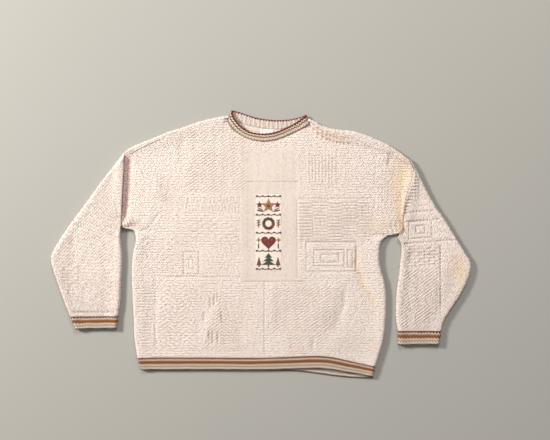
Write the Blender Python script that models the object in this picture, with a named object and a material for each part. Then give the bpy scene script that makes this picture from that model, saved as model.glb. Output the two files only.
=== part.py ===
"""Knitted christmas sweater lying flat on its back: +X across to the picture's right, +Y to the neck, +Z up.

The front and back panels, the sleeve tubes, the collar, the hem band and the cuffs are hollow walls of knit that
lie on each other. Left and right are those of someone looking down at the front. Sizes below are in millimetres,
and the meshes are made in metres.
"""

import math

import bmesh
import bpy
import numpy as np

MM = 0.001

# Driving sizes
WALL = 2.8
SEAM_GAP = 0.3
LAID = 8.2
FOLDED_EDGE = 11.6
EDGE_PUFF = 20.0
SLEEVE_LAID = 8.6
SLEEVE_PUFF = 12.0
COLLAR_LAID = 9.4
COLLAR_RIB = 0.8
RIB_HEIGHT = 0.9
LINE_HEIGHT = 1.0
DEEPEST_FOLD = 2.2

# A folded edge is half round, and a side seam runs along its middle
EDGE_RADIUS = FOLDED_EDGE / 2
HALF_SIDE_GAP = 0.25
SIDE_ROLL = (EDGE_RADIUS - HALF_SIDE_GAP) * math.pi / 2

# Cloth coordinates of the body: straight in the middle, eased to the outline near the sides, top and bottom
CLOTH_LEFT, CLOTH_RIGHT = -292.0, 280.0
CLOTH_BOTTOM, CLOTH_TOP = -252.0, 270.0
EASE_WIDTH = 120.0
EASE_ABOVE, EASE_BELOW = 100.0, -200.0

# Body outline at the sides: height, x of the edge
LEFT_SIDE = (
    (-280.0, -272.0),
    (-252.0, -274.0),
    (-230.0, -277.5),
    (-201.0, -281.0),
    (-168.0, -282.0),
    (-134.0, -284.0),
    (-101.0, -285.5),
    (-68.0, -286.5),
    (-39.0, -285.5),
    (-12.0, -282.0),
    (8.0, -277.5),
    (20.0, -279.5),
    (27.5, -283.5),
    (32.0, -290.0),
    (34.5, -299.0),
    (36.0, -310.5),
)
RIGHT_SIDE = (
    (-280.0, 251.0),
    (-268.0, 254.5),
    (-245.0, 262.0),
    (-223.0, 268.5),
    (-201.0, 273.0),
    (-168.0, 276.5),
    (-134.0, 277.5),
    (-101.0, 276.5),
    (-79.0, 273.0),
    (-57.0, 266.5),
    (-34.0, 262.5),
    (-12.0, 263.0),
    (3.3, 266.0),
    (12.2, 271.5),
    (16.7, 275.7),
    (20.0, 281.5),
    (22.2, 289.0),
    (23.4, 299.0),
    (24.0, 310.5),
)

# Armhole seams as straight lines: x and y at the shoulder tip, then at the armpit
LEFT_ARMHOLE = ((-301.9, 206.5), (-310.8, 36.0))
RIGHT_ARMHOLE = ((329.7, 188.7), (310.8, 24.0))
# Height at which the folded side edge opens into the armhole, and over what length
LEFT_ARMPIT, RIGHT_ARMPIT, ARMPIT_EASE = 36.0, 24.0, 24.0
# Rows of cells round an armpit, as distances below it, and how far in they go
ARMPIT_ROWS = (-20.0, -10.0, -4.0, 0.0, 0.6, 1.8, 4.0, 8.0, 12.0, 16.0, 20.0, 26.0, 34.0)
ARMPIT_WIDTH = 40.0

# Neck hole sides, between which the shoulders stop
NECK_LEFT, NECK_RIGHT = -74.1, 108.3
# Over what length a panel goes from its shoulder's height and line to those of the neck
NECK_EASE, NECK_BLEND = 12.0, 2.0

# Folded shoulder line: x, y, and how far the back's shoulder comes over onto the front
SHOULDERS = (
    (-302.0, 206.0, 9.0),
    (-291.0, 214.0, 9.0),
    (-269.0, 224.0, 9.0),
    (-246.0, 233.0, 9.5),
    (-224.0, 242.0, 10.0),
    (-202.0, 251.0, 10.5),
    (-180.0, 257.5, 11.0),
    (-158.0, 265.0, 11.5),
    (-135.0, 273.0, 12.0),
    (-113.0, 278.5, 12.0),
    (-91.0, 283.0, 12.5),
    (-74.0, 286.0, 13.0),
    (108.0, 280.0, 13.0),
    (118.0, 274.0, 17.0),
    (131.0, 266.0, 21.0),
    (153.0, 258.0, 25.0),
    (175.0, 254.0, 27.0),
    (198.0, 251.5, 26.0),
    (224.0, 243.0, 24.0),
    (253.0, 231.0, 21.0),
    (282.0, 217.5, 18.0),
    (304.0, 204.5, 16.0),
    (330.0, 188.5, 14.0),
)
# Rows of cloth that turn over the shoulder fold, and rows that lie on the front
TURN_ROWS, LAP_ROWS = 4, 1

# Seam between the front and the collar: x, y
FRONT_NECK = (
    (-74.1, 273.0),
    (-69.7, 265.0),
    (-64.4, 257.5),
    (-55.5, 249.8),
    (-45.5, 243.1),
    (-34.4, 237.3),
    (-11.8, 230.2),
    (8.0, 228.7),
    (28.9, 231.3),
    (51.1, 238.0),
    (71.0, 246.9),
    (86.6, 254.6),
    (97.7, 260.9),
    (108.3, 267.0),
)
# Seam between the back and the collar: x, y
BACK_NECK = (
    (-74.1, 281.4),
    (-60.0, 275.6),
    (-45.0, 270.5),
    (-20.0, 263.0),
    (9.0, 257.5),
    (35.0, 256.0),
    (60.0, 258.5),
    (85.0, 265.0),
    (108.3, 275.4),
)
# Upper edge of the collar in front and behind: x, y
COLLAR_FRONT_EDGE = (
    (-64.4, 289.0),
    (-58.4, 279.7),
    (-44.4, 263.1),
    (-27.3, 251.3),
    (-6.7, 246.4),
    (15.5, 246.4),
    (35.5, 250.6),
    (57.7, 260.0),
    (78.8, 271.3),
    (93.2, 281.5),
    (100.0, 287.0),
)
COLLAR_BACK_EDGE = (
    (-64.4, 297.5),
    (-48.8, 294.2),
    (-34.4, 289.0),
    (-20.0, 284.6),
    (-6.7, 281.0),
    (8.9, 278.4),
    (22.2, 276.8),
    (35.5, 276.2),
    (51.1, 276.6),
    (64.4, 277.8),
    (82.1, 281.5),
    (100.0, 287.5),
)

# Hem band: x, y of the front's seam and lower edge, y of the back's seam and lower edge
HEM = (
    (-274.0, -251.5, -277.5, -252.0, -279.0),
    (-246.0, -251.0, -278.2, -252.0, -279.5),
    (-120.0, -251.0, -278.2, -252.0, -279.5),
    (20.0, -251.0, -278.2, -252.5, -280.0),
    (86.0, -248.5, -276.2, -254.0, -282.0),
    (131.0, -247.5, -275.5, -259.5, -287.5),
    (164.0, -251.0, -279.0, -264.0, -292.0),
    (186.0, -256.0, -283.0, -267.0, -294.5),
    (209.0, -261.0, -286.5, -269.5, -296.0),
    (231.0, -266.0, -290.5, -271.0, -297.0),
    (255.0, -270.5, -294.0, -272.5, -297.5),
)
HEM_SEAM_ENDS = (-274.0, 253.6)
HEM_EDGE_ENDS = (-265.0, 248.0)

# Sleeve sections from the armhole to the cuff: x, y on the outer edge, x, y on the inner edge
LEFT_SLEEVE = (
    (-302.2, 206.5, -311.1, 36.0),
    (-328.5, 172.0, -312.0, 27.0),
    (-357.5, 134.5, -312.0, 16.0),
    (-391.0, 88.0, -311.0, 3.0),
    (-424.0, 43.5, -309.0, -11.5),
    (-450.5, 3.5, -308.5, -25.0),
    (-465.0, -26.5, -308.5, -39.5),
    (-462.0, -52.0, -309.5, -60.0),
    (-451.0, -84.5, -311.0, -88.0),
    (-437.5, -123.0, -312.5, -124.5),
    (-423.0, -160.0, -317.5, -159.0),
)
RIGHT_SLEEVE = (
    (330.0, 188.7, 311.1, 24.0),
    (344.0, 164.5, 310.5, 12.5),
    (364.0, 125.5, 311.5, 1.5),
    (386.5, 85.5, 312.0, -9.5),
    (408.5, 54.0, 312.0, -20.0),
    (431.0, 16.5, 311.0, -30.0),
    (453.0, -19.0, 309.5, -39.0),
    (465.5, -42.0, 308.5, -52.0),
    (460.5, -73.0, 305.5, -76.5),
    (444.0, -108.0, 301.0, -110.0),
    (420.0, -145.0, 299.5, -146.5),
    (405.5, -169.5, 301.0, -171.0),
    (399.5, -191.5, 304.0, -191.5),
)

# Cuffs: seam line and lower edge, each as x, y of the outer end and x, y of the inner end
LEFT_CUFF = ((-422.6, -160.4, -317.6, -159.4), (-412.0, -187.6, -320.0, -185.6))
RIGHT_CUFF = ((399.4, -191.9, 304.1, -191.9), (395.5, -222.0, 305.5, -222.5))

# Folds: x, y at each end, half width, height above the laid cloth or depth below it
FOLDS = (
    (-297.0, 196.0, -303.0, 66.0, 13.0, -1.9),
    (-304.0, 44.0, -281.0, 51.0, 7.0, 2.4),
    (295.0, 183.0, 297.0, 30.0, 19.0, -1.8),
    (213.0, -12.0, 213.0, -48.0, 9.0, -1.4),
    (213.0, -48.0, 226.0, -92.0, 10.0, -1.8),
    (226.0, -92.0, 257.0, -136.0, 10.0, -1.7),
    (182.0, -120.0, 160.0, -185.0, 12.0, -1.4),
    (-229.0, -74.0, -237.0, -163.0, 12.0, -1.4),
    (-316.0, 192.0, -321.0, 72.0, 11.0, 3.0),
    (-417.0, 10.0, -420.0, -46.0, 11.0, -1.7),
    (-433.0, -48.0, -413.0, -110.0, 10.0, -1.6),
    (-340.0, 138.0, -405.0, 30.0, 20.0, 1.6),
    (338.0, 165.0, 324.0, 38.0, 11.0, 3.0),
    (322.0, -17.0, 398.0, -39.0, 12.0, -1.8),
    (372.0, 84.0, 424.0, 0.0, 20.0, 1.6),
)

# A fold keeps this share of its height at its ends. Its cells reach this many half widths away from it, in steps
# of that many half widths across it and of one cell along it
FOLD_END = 0.55
FOLD_REACH, FOLD_STEP, FOLD_CELL = 1.6, 0.8, 26.0

# Knitted blocks raised on the front: kind, left x, right x, lower y, upper y, columns, pitch of the ribs
BLOCKS = (
    ("bars", 82.0, 246.0, 10.0, 98.0, 5, 7.333),
    ("rings", 98.0, 254.0, -63.0, 2.0, 1, 13.0),
    ("uprights", 109.0, 164.0, 132.0, 198.0, 1, 9.167),
    ("uprights", -180.0, -102.0, 66.0, 121.0, 2, 13.0),
    ("tree", -136.0, -36.0, -234.0, -100.0, 1, 16.75),
    ("bars", -262.0, -234.0, -234.0, -90.0, 1, 9.0),
    ("line", -46.0, -38.0, -71.0, 136.0, 1, 8.0),
    ("line", 70.0, 78.0, -71.0, 136.0, 1, 8.0),
    ("line_across", -46.0, 78.0, 136.0, 144.0, 1, 8.0),
    ("line_across", -202.0, 98.0, -79.0, -71.0, 1, 8.0),
    ("line", 3.0, 11.0, -234.0, -79.0, 1, 8.0),
)
COLUMN_INSET, LINE_INSET = 3.0, 2.0
# Width of the tree's tip as a share of its foot, and how soon its ribs fade out beside it
TREE_TIP, TREE_EDGE = 0.15, 8.0
FRONT_CELL, BACK_CELL, SHOULDER_CELL = 50.0, 62.0, 26.0
NECK_STEPS, HEM_STEPS = 32, 26
# Cells across a flattened tube and round each of its folded edges
TUBE_STEPS, TURN_STEPS = 8, 4
# Share of the way up a folded edge at which a band starts to pass from the back's line to the front's
BAND_TURN_START = 0.45

# Purl ridges across a striped band: share of its height from the seam, height of the ridge
BAND_RIDGES = (
    (0.0, 0.0),
    (0.09, 0.9),
    (0.22, 0.1),
    (0.42, 1.0),
    (0.60, 0.1),
    (0.80, 0.9),
    (1.0, 0.3),
)

# Blank woven label inside the back neck: centre x, top y, width, drop, thickness
LABEL = (13.0, 256.3, 31.0, 17.0, 0.8)

ROUGHNESS = 0.92
IVORY = (0.86, 0.74, 0.63)
MAROON = (0.25, 0.05, 0.035)
LABEL_WHITE = (0.72, 0.76, 0.80)


def smooth_curve(points, column=1):
    """A smooth function through a table's rows, from its first column to the one named."""
    at = np.array([row[0] for row in points])
    value = np.array([row[column] for row in points])
    slope = np.gradient(value, at)

    def read(x):
        x = min(max(x, at[0]), at[-1])
        i = min(max(int(np.searchsorted(at, x)) - 1, 0), len(at) - 2)
        span = at[i + 1] - at[i]
        t = (x - at[i]) / span
        low = (2 * t**3 - 3 * t**2 + 1) * value[i] + (t**3 - 2 * t**2 + t) * span * slope[i]
        high = (3 * t**2 - 2 * t**3) * value[i + 1] + (t**3 - t**2) * span * slope[i + 1]
        return float(low + high)

    return read


def ease(t):
    """From 0 to 1 with no kink at either end."""
    t = min(max(t, 0.0), 1.0)
    return t * t * (3 - 2 * t)


def bell(t):
    return math.exp(-t * t)


def triangle_wave(t):
    """0 at whole numbers and 1 halfway between them."""
    return 1 - abs(2 * (t - math.floor(t)) - 1)


def line_x(line, y):
    (top_x, top_y), (low_x, low_y) = line
    return low_x + (top_x - low_x) * (y - low_y) / (top_y - low_y)


def split_curve(points, column):
    """The shoulder table as two curves, left and right of the neck."""
    left = smooth_curve([row for row in points if row[0] < 0], column)
    right = smooth_curve([row for row in points if row[0] > 0], column)
    return lambda x: left(x) if x < 0 else right(x)


left_side = smooth_curve(LEFT_SIDE)
right_side = smooth_curve(RIGHT_SIDE)
shoulder_line = split_curve(SHOULDERS, 1)
shoulder_overlap = split_curve(SHOULDERS, 2)
front_neck = smooth_curve(FRONT_NECK)
back_neck = smooth_curve(BACK_NECK)
hem_front_seam, hem_front_edge, hem_back_seam, hem_back_edge = (smooth_curve(HEM, k) for k in (1, 2, 3, 4))


def left_edge(y):
    if y >= LEFT_ARMPIT:
        return line_x(LEFT_ARMHOLE, y) + SEAM_GAP
    return left_side(y)


def right_edge(y):
    if y >= RIGHT_ARMPIT:
        return line_x(RIGHT_ARMHOLE, y) - SEAM_GAP
    return right_side(y)


def side_turn(y, armpit):
    """How far the side edge is folded round: 0 at the armhole, a quarter turn below it."""
    return ease((armpit - y) / ARMPIT_EASE)


def roll(turn):
    """Radius and reach of an edge of length SIDE_ROLL folded through this share of a quarter turn."""
    if turn < 0.02:
        return None, SIDE_ROLL
    radius = SIDE_ROLL / (turn * math.pi / 2)
    return radius, radius * math.sin(turn * math.pi / 2)


def in_neck(x):
    return NECK_LEFT - 1e-6 <= x <= NECK_RIGHT + 1e-6


def fold_height(x, y):
    total = 0.0
    for x0, y0, x1, y1, half_width, height in FOLDS:
        along = ((x - x0) * (x1 - x0) + (y - y0) * (y1 - y0)) / ((x1 - x0) ** 2 + (y1 - y0) ** 2)
        nearest = min(max(along, 0.0), 1.0)
        away = math.hypot(x - x0 - nearest * (x1 - x0), y - y0 - nearest * (y1 - y0))
        taper = FOLD_END + (1 - FOLD_END) * math.sin(math.pi * nearest)
        total += height * taper * bell(away / half_width)
    return max(total, -DEEPEST_FOLD)


def body_height(x, y):
    """Height of the front's outer face: laid cloth, higher where an edge is folded, with its folds."""
    left_turn, right_turn = side_turn(y, LEFT_ARMPIT), side_turn(y, RIGHT_ARMPIT)
    left_start = left_edge(y) + roll(left_turn)[1]
    right_start = right_edge(y) - roll(right_turn)[1]
    puff = bell(max(x - left_start, 0) / EDGE_PUFF) * min(2 * left_turn, 1)
    puff += bell(max(right_start - x, 0) / EDGE_PUFF) * min(2 * right_turn, 1)
    beside_neck = max(ease((NECK_LEFT - x) / NECK_EASE), ease((x - NECK_RIGHT) / NECK_EASE))
    below_shoulder = max(shoulder_line(x) - EDGE_RADIUS - y, 0)
    puff += bell(below_shoulder / EDGE_PUFF) * beside_neck
    puff = min(puff, 1.0)
    laid = LAID + fold_height(x, y)
    return laid + (FOLDED_EDGE - laid) * puff


def across(cloth_x, y):
    """x of a point of the body, and for an edge that folds, how far it has sunk and the side part of its normal."""
    left_turn, right_turn = side_turn(y, LEFT_ARMPIT), side_turn(y, RIGHT_ARMPIT)
    for side, edge, cloth_start, turn in (
        (-1, left_edge(y), CLOTH_LEFT + SIDE_ROLL, left_turn),
        (1, right_edge(y), CLOTH_RIGHT - SIDE_ROLL, right_turn),
    ):
        radius, reach = roll(turn)
        beyond = side * (cloth_x - cloth_start)
        if beyond <= 0:
            continue
        if radius is None:
            return edge + side * (beyond - reach), 0.0, 0.0
        angle = beyond / radius
        x = edge + side * (radius * math.sin(angle) - reach)
        return x, radius * (1 - math.cos(angle)), side * math.sin(angle)
    left_start = left_edge(y) + roll(left_turn)[1]
    right_start = right_edge(y) - roll(right_turn)[1]
    left_share = ease(1 - (cloth_x - CLOTH_LEFT - SIDE_ROLL) / EASE_WIDTH)
    right_share = ease(1 - (CLOTH_RIGHT - SIDE_ROLL - cloth_x) / EASE_WIDTH)
    x = cloth_x + left_share * (left_start - CLOTH_LEFT - SIDE_ROLL)
    x += right_share * (right_start - CLOTH_RIGHT + SIDE_ROLL)
    return x, 0.0, 0.0


def eased_y(cloth_y, top, bottom):
    """y of a row of the cloth, spread between the straight middle and the panel's top or bottom edge."""
    if cloth_y > EASE_ABOVE:
        return EASE_ABOVE + (cloth_y - EASE_ABOVE) * (top - EASE_ABOVE) / (CLOTH_TOP - EASE_ABOVE)
    if cloth_y < EASE_BELOW:
        return EASE_BELOW + (cloth_y - EASE_BELOW) * (bottom - EASE_BELOW) / (CLOTH_BOTTOM - EASE_BELOW)
    return cloth_y


def seam_clearance(curve, x):
    """The step in y that leaves SEAM_GAP square to a sloping seam."""
    slope = (curve(x + 1) - curve(x - 1)) / 2
    return SEAM_GAP * math.hypot(1, slope)


def wide_x(cloth_x):
    """x on the shoulder line for a column of the cloth."""
    stretch_left = ease(1 - (cloth_x - CLOTH_LEFT) / EASE_WIDTH)
    stretch_right = ease(1 - (CLOTH_RIGHT - cloth_x) / EASE_WIDTH)
    x = cloth_x + stretch_left * (LEFT_ARMHOLE[0][0] - CLOTH_LEFT)
    return x + stretch_right * (RIGHT_ARMHOLE[0][0] - CLOTH_RIGHT)


def settled_y(cloth_x, cloth_y, top, hem_seam):
    """y of a point of a panel whose lowest row follows the hem seam at the x where it comes to lie."""
    y = cloth_y
    for _ in range(4):
        x = across(cloth_x, y)[0]
        y = eased_y(cloth_y, top, hem_seam(x) + seam_clearance(hem_seam, x))
    return y


def front_point(cloth_x, cloth_y):
    """Point and outward normal of the front's outer face, without its relief."""
    top_x = wide_x(cloth_x)
    if in_neck(top_x):
        top = front_neck(top_x) - seam_clearance(front_neck, top_x)
    else:
        top = shoulder_line(top_x) - shoulder_overlap(top_x)
    y = settled_y(cloth_x, cloth_y, top, hem_front_seam)
    x, sunk, side = across(cloth_x, y)
    z = body_height(x, y) - sunk
    return np.array((x, y, z)), np.array((side, 0.0, math.sqrt(1 - side * side)))


def back_point(cloth_x, cloth_y):
    """Point and outward normal of the back's outer face. Past CLOTH_TOP its shoulders turn over onto the front."""
    top_x = wide_x(cloth_x)
    start = shoulder_line(top_x) - EDGE_RADIUS
    if in_neck(top_x):
        beside = min(top_x - NECK_LEFT, NECK_RIGHT - top_x)
        blend = min(beside / NECK_BLEND, 1)
        start = start + (back_neck(top_x) - seam_clearance(back_neck, top_x) - start) * blend
    y = settled_y(cloth_x, min(cloth_y, CLOTH_TOP), start, hem_back_seam)
    if cloth_y <= CLOTH_TOP:
        x, sunk, side = across(cloth_x, y)
        return np.array((x, y, sunk)), np.array((side, 0.0, -math.sqrt(1 - side * side)))
    rows_over = cloth_y - CLOTH_TOP
    angle = min(rows_over / TURN_ROWS, 1.0) * math.pi
    y += EDGE_RADIUS * math.sin(angle)
    z = EDGE_RADIUS * (1 - math.cos(angle))
    if rows_over > TURN_ROWS:
        length = shoulder_overlap(top_x) - EDGE_RADIUS - SEAM_GAP
        y -= length * (rows_over - TURN_ROWS) / LAP_ROWS
    x = across(cloth_x, y)[0]
    if rows_over > TURN_ROWS:
        z = body_height(x, y)
    return np.array((x, y, z)), np.array((0.0, math.sin(angle), -math.cos(angle)))


def relief(cloth_x, cloth_y):
    """Height of the knitted blocks over the front."""
    height = 0.0
    for kind, x0, x1, y0, y1, columns, pitch in BLOCKS:
        if not (x0 <= cloth_x <= x1 and y0 <= cloth_y <= y1):
            continue
        right, up = cloth_x - x0, cloth_y - y0
        from_edge = min(right, x1 - cloth_x, up, y1 - cloth_y)
        if kind == "bars":
            width = (x1 - x0) / columns
            column = min(int(right / width), columns - 1)
            inset = min(right - column * width, (column + 1) * width - right) / COLUMN_INSET
            height += RIB_HEIGHT * triangle_wave(up / pitch) * min(max(inset, 0), 1)
        elif kind == "uprights":
            tall = (y1 - y0) / columns
            row = min(int(up / tall), columns - 1)
            inset = min(up - row * tall, (row + 1) * tall - up) / COLUMN_INSET
            height += RIB_HEIGHT * triangle_wave(right / pitch) * min(max(inset, 0), 1)
        elif kind == "rings":
            height += RIB_HEIGHT * triangle_wave(from_edge / pitch)
        elif kind == "tree":
            reach = (1 - (1 - TREE_TIP) * up / (y1 - y0)) * (x1 - x0) / 2
            away = abs(cloth_x - (x0 + x1) / 2)
            height += RIB_HEIGHT * triangle_wave(up / pitch) * min(max((reach - away) / TREE_EDGE, 0), 1)
        elif kind == "line":
            height += LINE_HEIGHT * triangle_wave(right / pitch) * min(from_edge / LINE_INSET, 1)
        else:
            height += LINE_HEIGHT * triangle_wave(up / pitch) * min(from_edge / LINE_INSET, 1)
    return height


def rounded(lines):
    return [round(v, 3) for v in lines]


def block_patch(block):
    """A block's rectangle, with the lines across and up that its ribs need."""
    kind, x0, x1, y0, y1, columns, pitch = block
    half = pitch / 2
    fine_x = [x0 + half * k for k in range(1, round((x1 - x0) / half))]
    fine_y = [y0 + half * k for k in range(1, round((y1 - y0) / half))]
    if kind == "bars":
        width = (x1 - x0) / columns
        fine_x = [x0 + width * k + s for k in range(columns + 1) for s in (-COLUMN_INSET, 0, COLUMN_INSET)]
    elif kind == "uprights":
        tall = (y1 - y0) / columns
        fine_y = [y0 + tall * k + s for k in range(columns + 1) for s in (-COLUMN_INSET, 0, COLUMN_INSET)]
    elif kind == "tree":
        fine_x = [x0 + (x1 - x0) * k / 6 for k in range(1, 6)]
    elif kind == "line":
        fine_y = []
    elif kind == "line_across":
        fine_x = []
    return x0, x1, y0, y1, rounded(fine_x), rounded(fine_y)


def fold_patch(fold):
    """The rectangle round a fold, cut finely across the fold and coarsely along it."""
    x0, y0, x1, y1, half_width, _ = fold
    reach = FOLD_REACH * half_width
    fine, coarse = FOLD_STEP * half_width, FOLD_CELL
    left, right, low, high = min(x0, x1) - reach, max(x0, x1) + reach, min(y0, y1) - reach, max(y0, y1) + reach
    step_x, step_y = (fine, coarse) if abs(y1 - y0) > abs(x1 - x0) else (coarse, fine)
    fine_x = filled_lines([left, right], step_x)
    fine_y = filled_lines([low, high], step_y)
    return round(left, 3), round(right, 3), round(low, 3), round(high, 3), fine_x, fine_y


def filled_lines(wanted, largest):
    """The wanted lines, with more put evenly between those that are too far apart."""
    wanted = sorted({round(w, 3) for w in wanted})
    lines = [wanted[0]]
    for low, high in zip(wanted, wanted[1:]):
        parts = max(1, math.ceil((high - low) / largest - 0.2))
        lines += [low + (high - low) * k / parts for k in range(1, parts + 1)]
    return [round(v, 3) for v in lines]


def split(low, high, lines):
    """The stretches between low and high, cut at the lines that fall between them."""
    cuts = [low] + sorted({v for v in lines if low + 0.01 < v < high - 0.01}) + [high]
    return list(zip(cuts, cuts[1:]))


def cell_boxes(lines_x, lines_y, keep, patches):
    """The cells that keep(x, y) wants, cut along the edges of the patches and by a patch's own lines inside it."""
    for x0, x1 in zip(lines_x, lines_x[1:]):
        for y0, y1 in zip(lines_y, lines_y[1:]):
            if not keep((x0 + x1) / 2, (y0 + y1) / 2):
                continue
            near = [p for p in patches if p[0] < x1 and p[1] > x0 and p[2] < y1 and p[3] > y0]
            for a, b in split(x0, x1, [v for p in near for v in p[:2]]):
                for c, d in split(y0, y1, [v for p in near for v in p[2:4]]):
                    inside = [p for p in near if p[0] <= a and b <= p[1] and p[2] <= c and d <= p[3]]
                    for e, f in split(a, b, [v for p in inside for v in p[4]]):
                        for g, h in split(c, d, [v for p in inside for v in p[5]]):
                            yield e, f, g, h


def cell_polygons(lines_x, lines_y, keep, patches=(), on_edge=()):
    """The cells of a sheet as loops of corner keys.

    Corners of finer neighbours, and the points in on_edge, are put into the loops of the cells that they lie on.
    """
    boxes = list(cell_boxes(lines_x, lines_y, keep, patches))
    corners = {(x, y) for a, b, c, d in boxes for x in (a, b) for y in (c, d)} | set(on_edge)
    up_line, along_line = {}, {}
    for x, y in corners:
        up_line.setdefault(x, []).append(y)
        along_line.setdefault(y, []).append(x)
    loops = []
    for x0, x1, y0, y1 in boxes:
        lower = sorted(x for x in along_line[y0] if x0 <= x < x1)
        right = sorted(y for y in up_line[x1] if y0 <= y < y1)
        upper = sorted((x for x in along_line[y1] if x0 < x <= x1), reverse=True)
        left = sorted((y for y in up_line[x0] if y0 < y <= y1), reverse=True)
        loop = [(x, y0) for x in lower] + [(x1, y) for y in right]
        loops.append(loop + [(x, y1) for x in upper] + [(x0, y) for y in left])
    return loops


def border_of(loops):
    """The directed edges that only one loop uses."""
    edges = {(a, b) for loop in loops for a, b in zip(loop, loop[1:] + loop[:1])}
    return [(a, b) for a, b in edges if (b, a) not in edges]


def add_loops(mesh, loops, place):
    """Adds a face for each loop: a four-cornered one as it is, a longer one as a fan round its middle."""
    corners = {}
    for loop in loops:
        for key in loop:
            if key not in corners:
                corners[key] = mesh.verts.new(place(*key) * MM)
        points = [corners[key] for key in loop]
        if len(points) == 4:
            mesh.faces.new(points)
            continue
        middle_x = (min(k[0] for k in loop) + max(k[0] for k in loop)) / 2
        middle_y = (min(k[1] for k in loop) + max(k[1] for k in loop)) / 2
        middle = mesh.verts.new(place(middle_x, middle_y) * MM)
        for a, b in zip(points, points[1:] + points[:1]):
            mesh.faces.new((a, b, middle))
    return corners


def knit_material(name, colour):
    material = bpy.data.materials.new(name)
    material.use_nodes = True
    shader = material.node_tree.nodes["Principled BSDF"]
    shader.inputs["Base Color"].default_value = (*colour, 1.0)
    shader.inputs["Roughness"].default_value = ROUGHNESS
    shader.inputs["Metallic"].default_value = 0.0
    return material


def add_object(name, mesh, colour):
    bmesh.ops.recalc_face_normals(mesh, faces=mesh.faces)
    bmesh.ops.triangulate(mesh, faces=mesh.faces, quad_method="SHORT_EDGE")
    if mesh.calc_volume(signed=True) < 0:
        bmesh.ops.reverse_faces(mesh, faces=mesh.faces)
    data = bpy.data.meshes.new(name)
    mesh.to_mesh(data)
    mesh.free()
    data.shade_smooth()
    obj = bpy.data.objects.new(name, data)
    obj.data.materials.append(knit_material(name, colour))
    bpy.context.scene.collection.objects.link(obj)
    return obj


def wall(name, point, raised, outer, inner, colour):
    """A sheet of knit: its outer cells, its plainer inner cells and the rim between their borders."""
    mesh = bmesh.new()

    def outside(x, y):
        place, normal = point(x, y)
        return place + normal * raised(x, y)

    def inside(x, y):
        place, normal = point(x, y)
        return place - normal * WALL

    outer_corners = add_loops(mesh, outer, outside)
    inner_corners = add_loops(mesh, inner, inside)
    for a, b in border_of(outer):
        mesh.faces.new((outer_corners[a], outer_corners[b], inner_corners[b], inner_corners[a]))
    return add_object(name, mesh, colour)


def no_relief(x, y):
    return 0.0


def side_lines():
    """Lines up the two folded edges, shared by the front and the back."""
    steps = [SIDE_ROLL * k / 4 for k in range(5)]
    return [CLOTH_LEFT + s for s in steps], [CLOTH_RIGHT - s for s in reversed(steps)]


def panel_lines(cell):
    """Columns and rows of the body's cells, no further apart than about one cell."""
    left, right = side_lines()
    columns = filled_lines(left + right + [NECK_LEFT, NECK_RIGHT], cell)
    rows = filled_lines([CLOTH_BOTTOM, EASE_BELOW, EASE_ABOVE, CLOTH_TOP], cell)
    return columns, rows


def neck_columns():
    """Places along the neck seam where the collar, the front and the back are all cut."""
    low, high = NECK_LEFT + EDGE_RADIUS, NECK_RIGHT - EDGE_RADIUS
    return rounded(low + (high - low) * k / NECK_STEPS for k in range(NECK_STEPS + 1))


def hem_columns():
    """Columns of the cloth at which both panels and the hem band are cut along the hem seam."""
    low, high = CLOTH_LEFT + SIDE_ROLL, CLOTH_RIGHT - SIDE_ROLL
    return rounded(low + (high - low) * k / HEM_STEPS for k in range(HEM_STEPS + 1))


def shoulder_patches():
    """The strips that turn over the shoulders, cut at the same columns as the front's shoulder edge."""
    top = CLOTH_TOP + TURN_ROWS + LAP_ROWS
    left = filled_lines([CLOTH_LEFT, NECK_LEFT], SHOULDER_CELL)
    right = filled_lines([NECK_RIGHT, CLOTH_RIGHT], SHOULDER_CELL)
    return [(line[0], line[-1], CLOTH_TOP, top, line, []) for line in (left, right)]


def armpit_patches():
    """Closely cut strips at the armpits, where the outline turns fast."""
    left = rounded(LEFT_ARMPIT - d for d in ARMPIT_ROWS)
    right = rounded(RIGHT_ARMPIT - d for d in ARMPIT_ROWS)
    return [
        (CLOTH_LEFT, CLOTH_LEFT + ARMPIT_WIDTH, left[-1], left[0], [], left),
        (CLOTH_RIGHT - ARMPIT_WIDTH, CLOTH_RIGHT, right[-1], right[0], [], right),
    ]


def front_cells():
    columns, rows = panel_lines(FRONT_CELL)
    patches = [block_patch(block) for block in BLOCKS] + armpit_patches()
    patches += [fold_patch(fold) for fold in FOLDS]
    seam = [(x, CLOTH_BOTTOM) for x in hem_columns()]
    seam += [(x, CLOTH_TOP) for x in neck_columns() + panel_lines(BACK_CELL)[0]]
    seam += [(x, CLOTH_TOP) for patch in shoulder_patches() for x in patch[4]]
    return cell_polygons(columns, rows, lambda x, y: True, patches, seam)


def make_front():
    outer = front_cells()
    border = {key for edge in border_of(outer) for key in edge}
    columns, rows = panel_lines(2 * FRONT_CELL)
    inner = cell_polygons(columns, rows, lambda x, y: True, armpit_patches(), border)
    return wall("front", front_point, relief, outer, inner, IVORY)


def make_back():
    columns, rows = panel_lines(BACK_CELL)
    over = [CLOTH_TOP + k for k in range(1, TURN_ROWS + LAP_ROWS + 1)]

    def in_neck_hole(x):
        return NECK_LEFT < x < NECK_RIGHT

    seam = [(x, CLOTH_BOTTOM) for x in hem_columns()]
    seam += [(x, CLOTH_TOP) for x in neck_columns()]
    top = {x for edge in border_of(front_cells()) for x, y in edge if y == CLOTH_TOP}
    seam += [(x, over[-1]) for x in top if not in_neck_hole(x)]
    patches = armpit_patches() + shoulder_patches()
    cells = cell_polygons(columns, rows + over, lambda x, y: y < CLOTH_TOP or not in_neck_hole(x), patches, seam)
    return wall("back", back_point, no_relief, cells, cells, IVORY)


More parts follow.
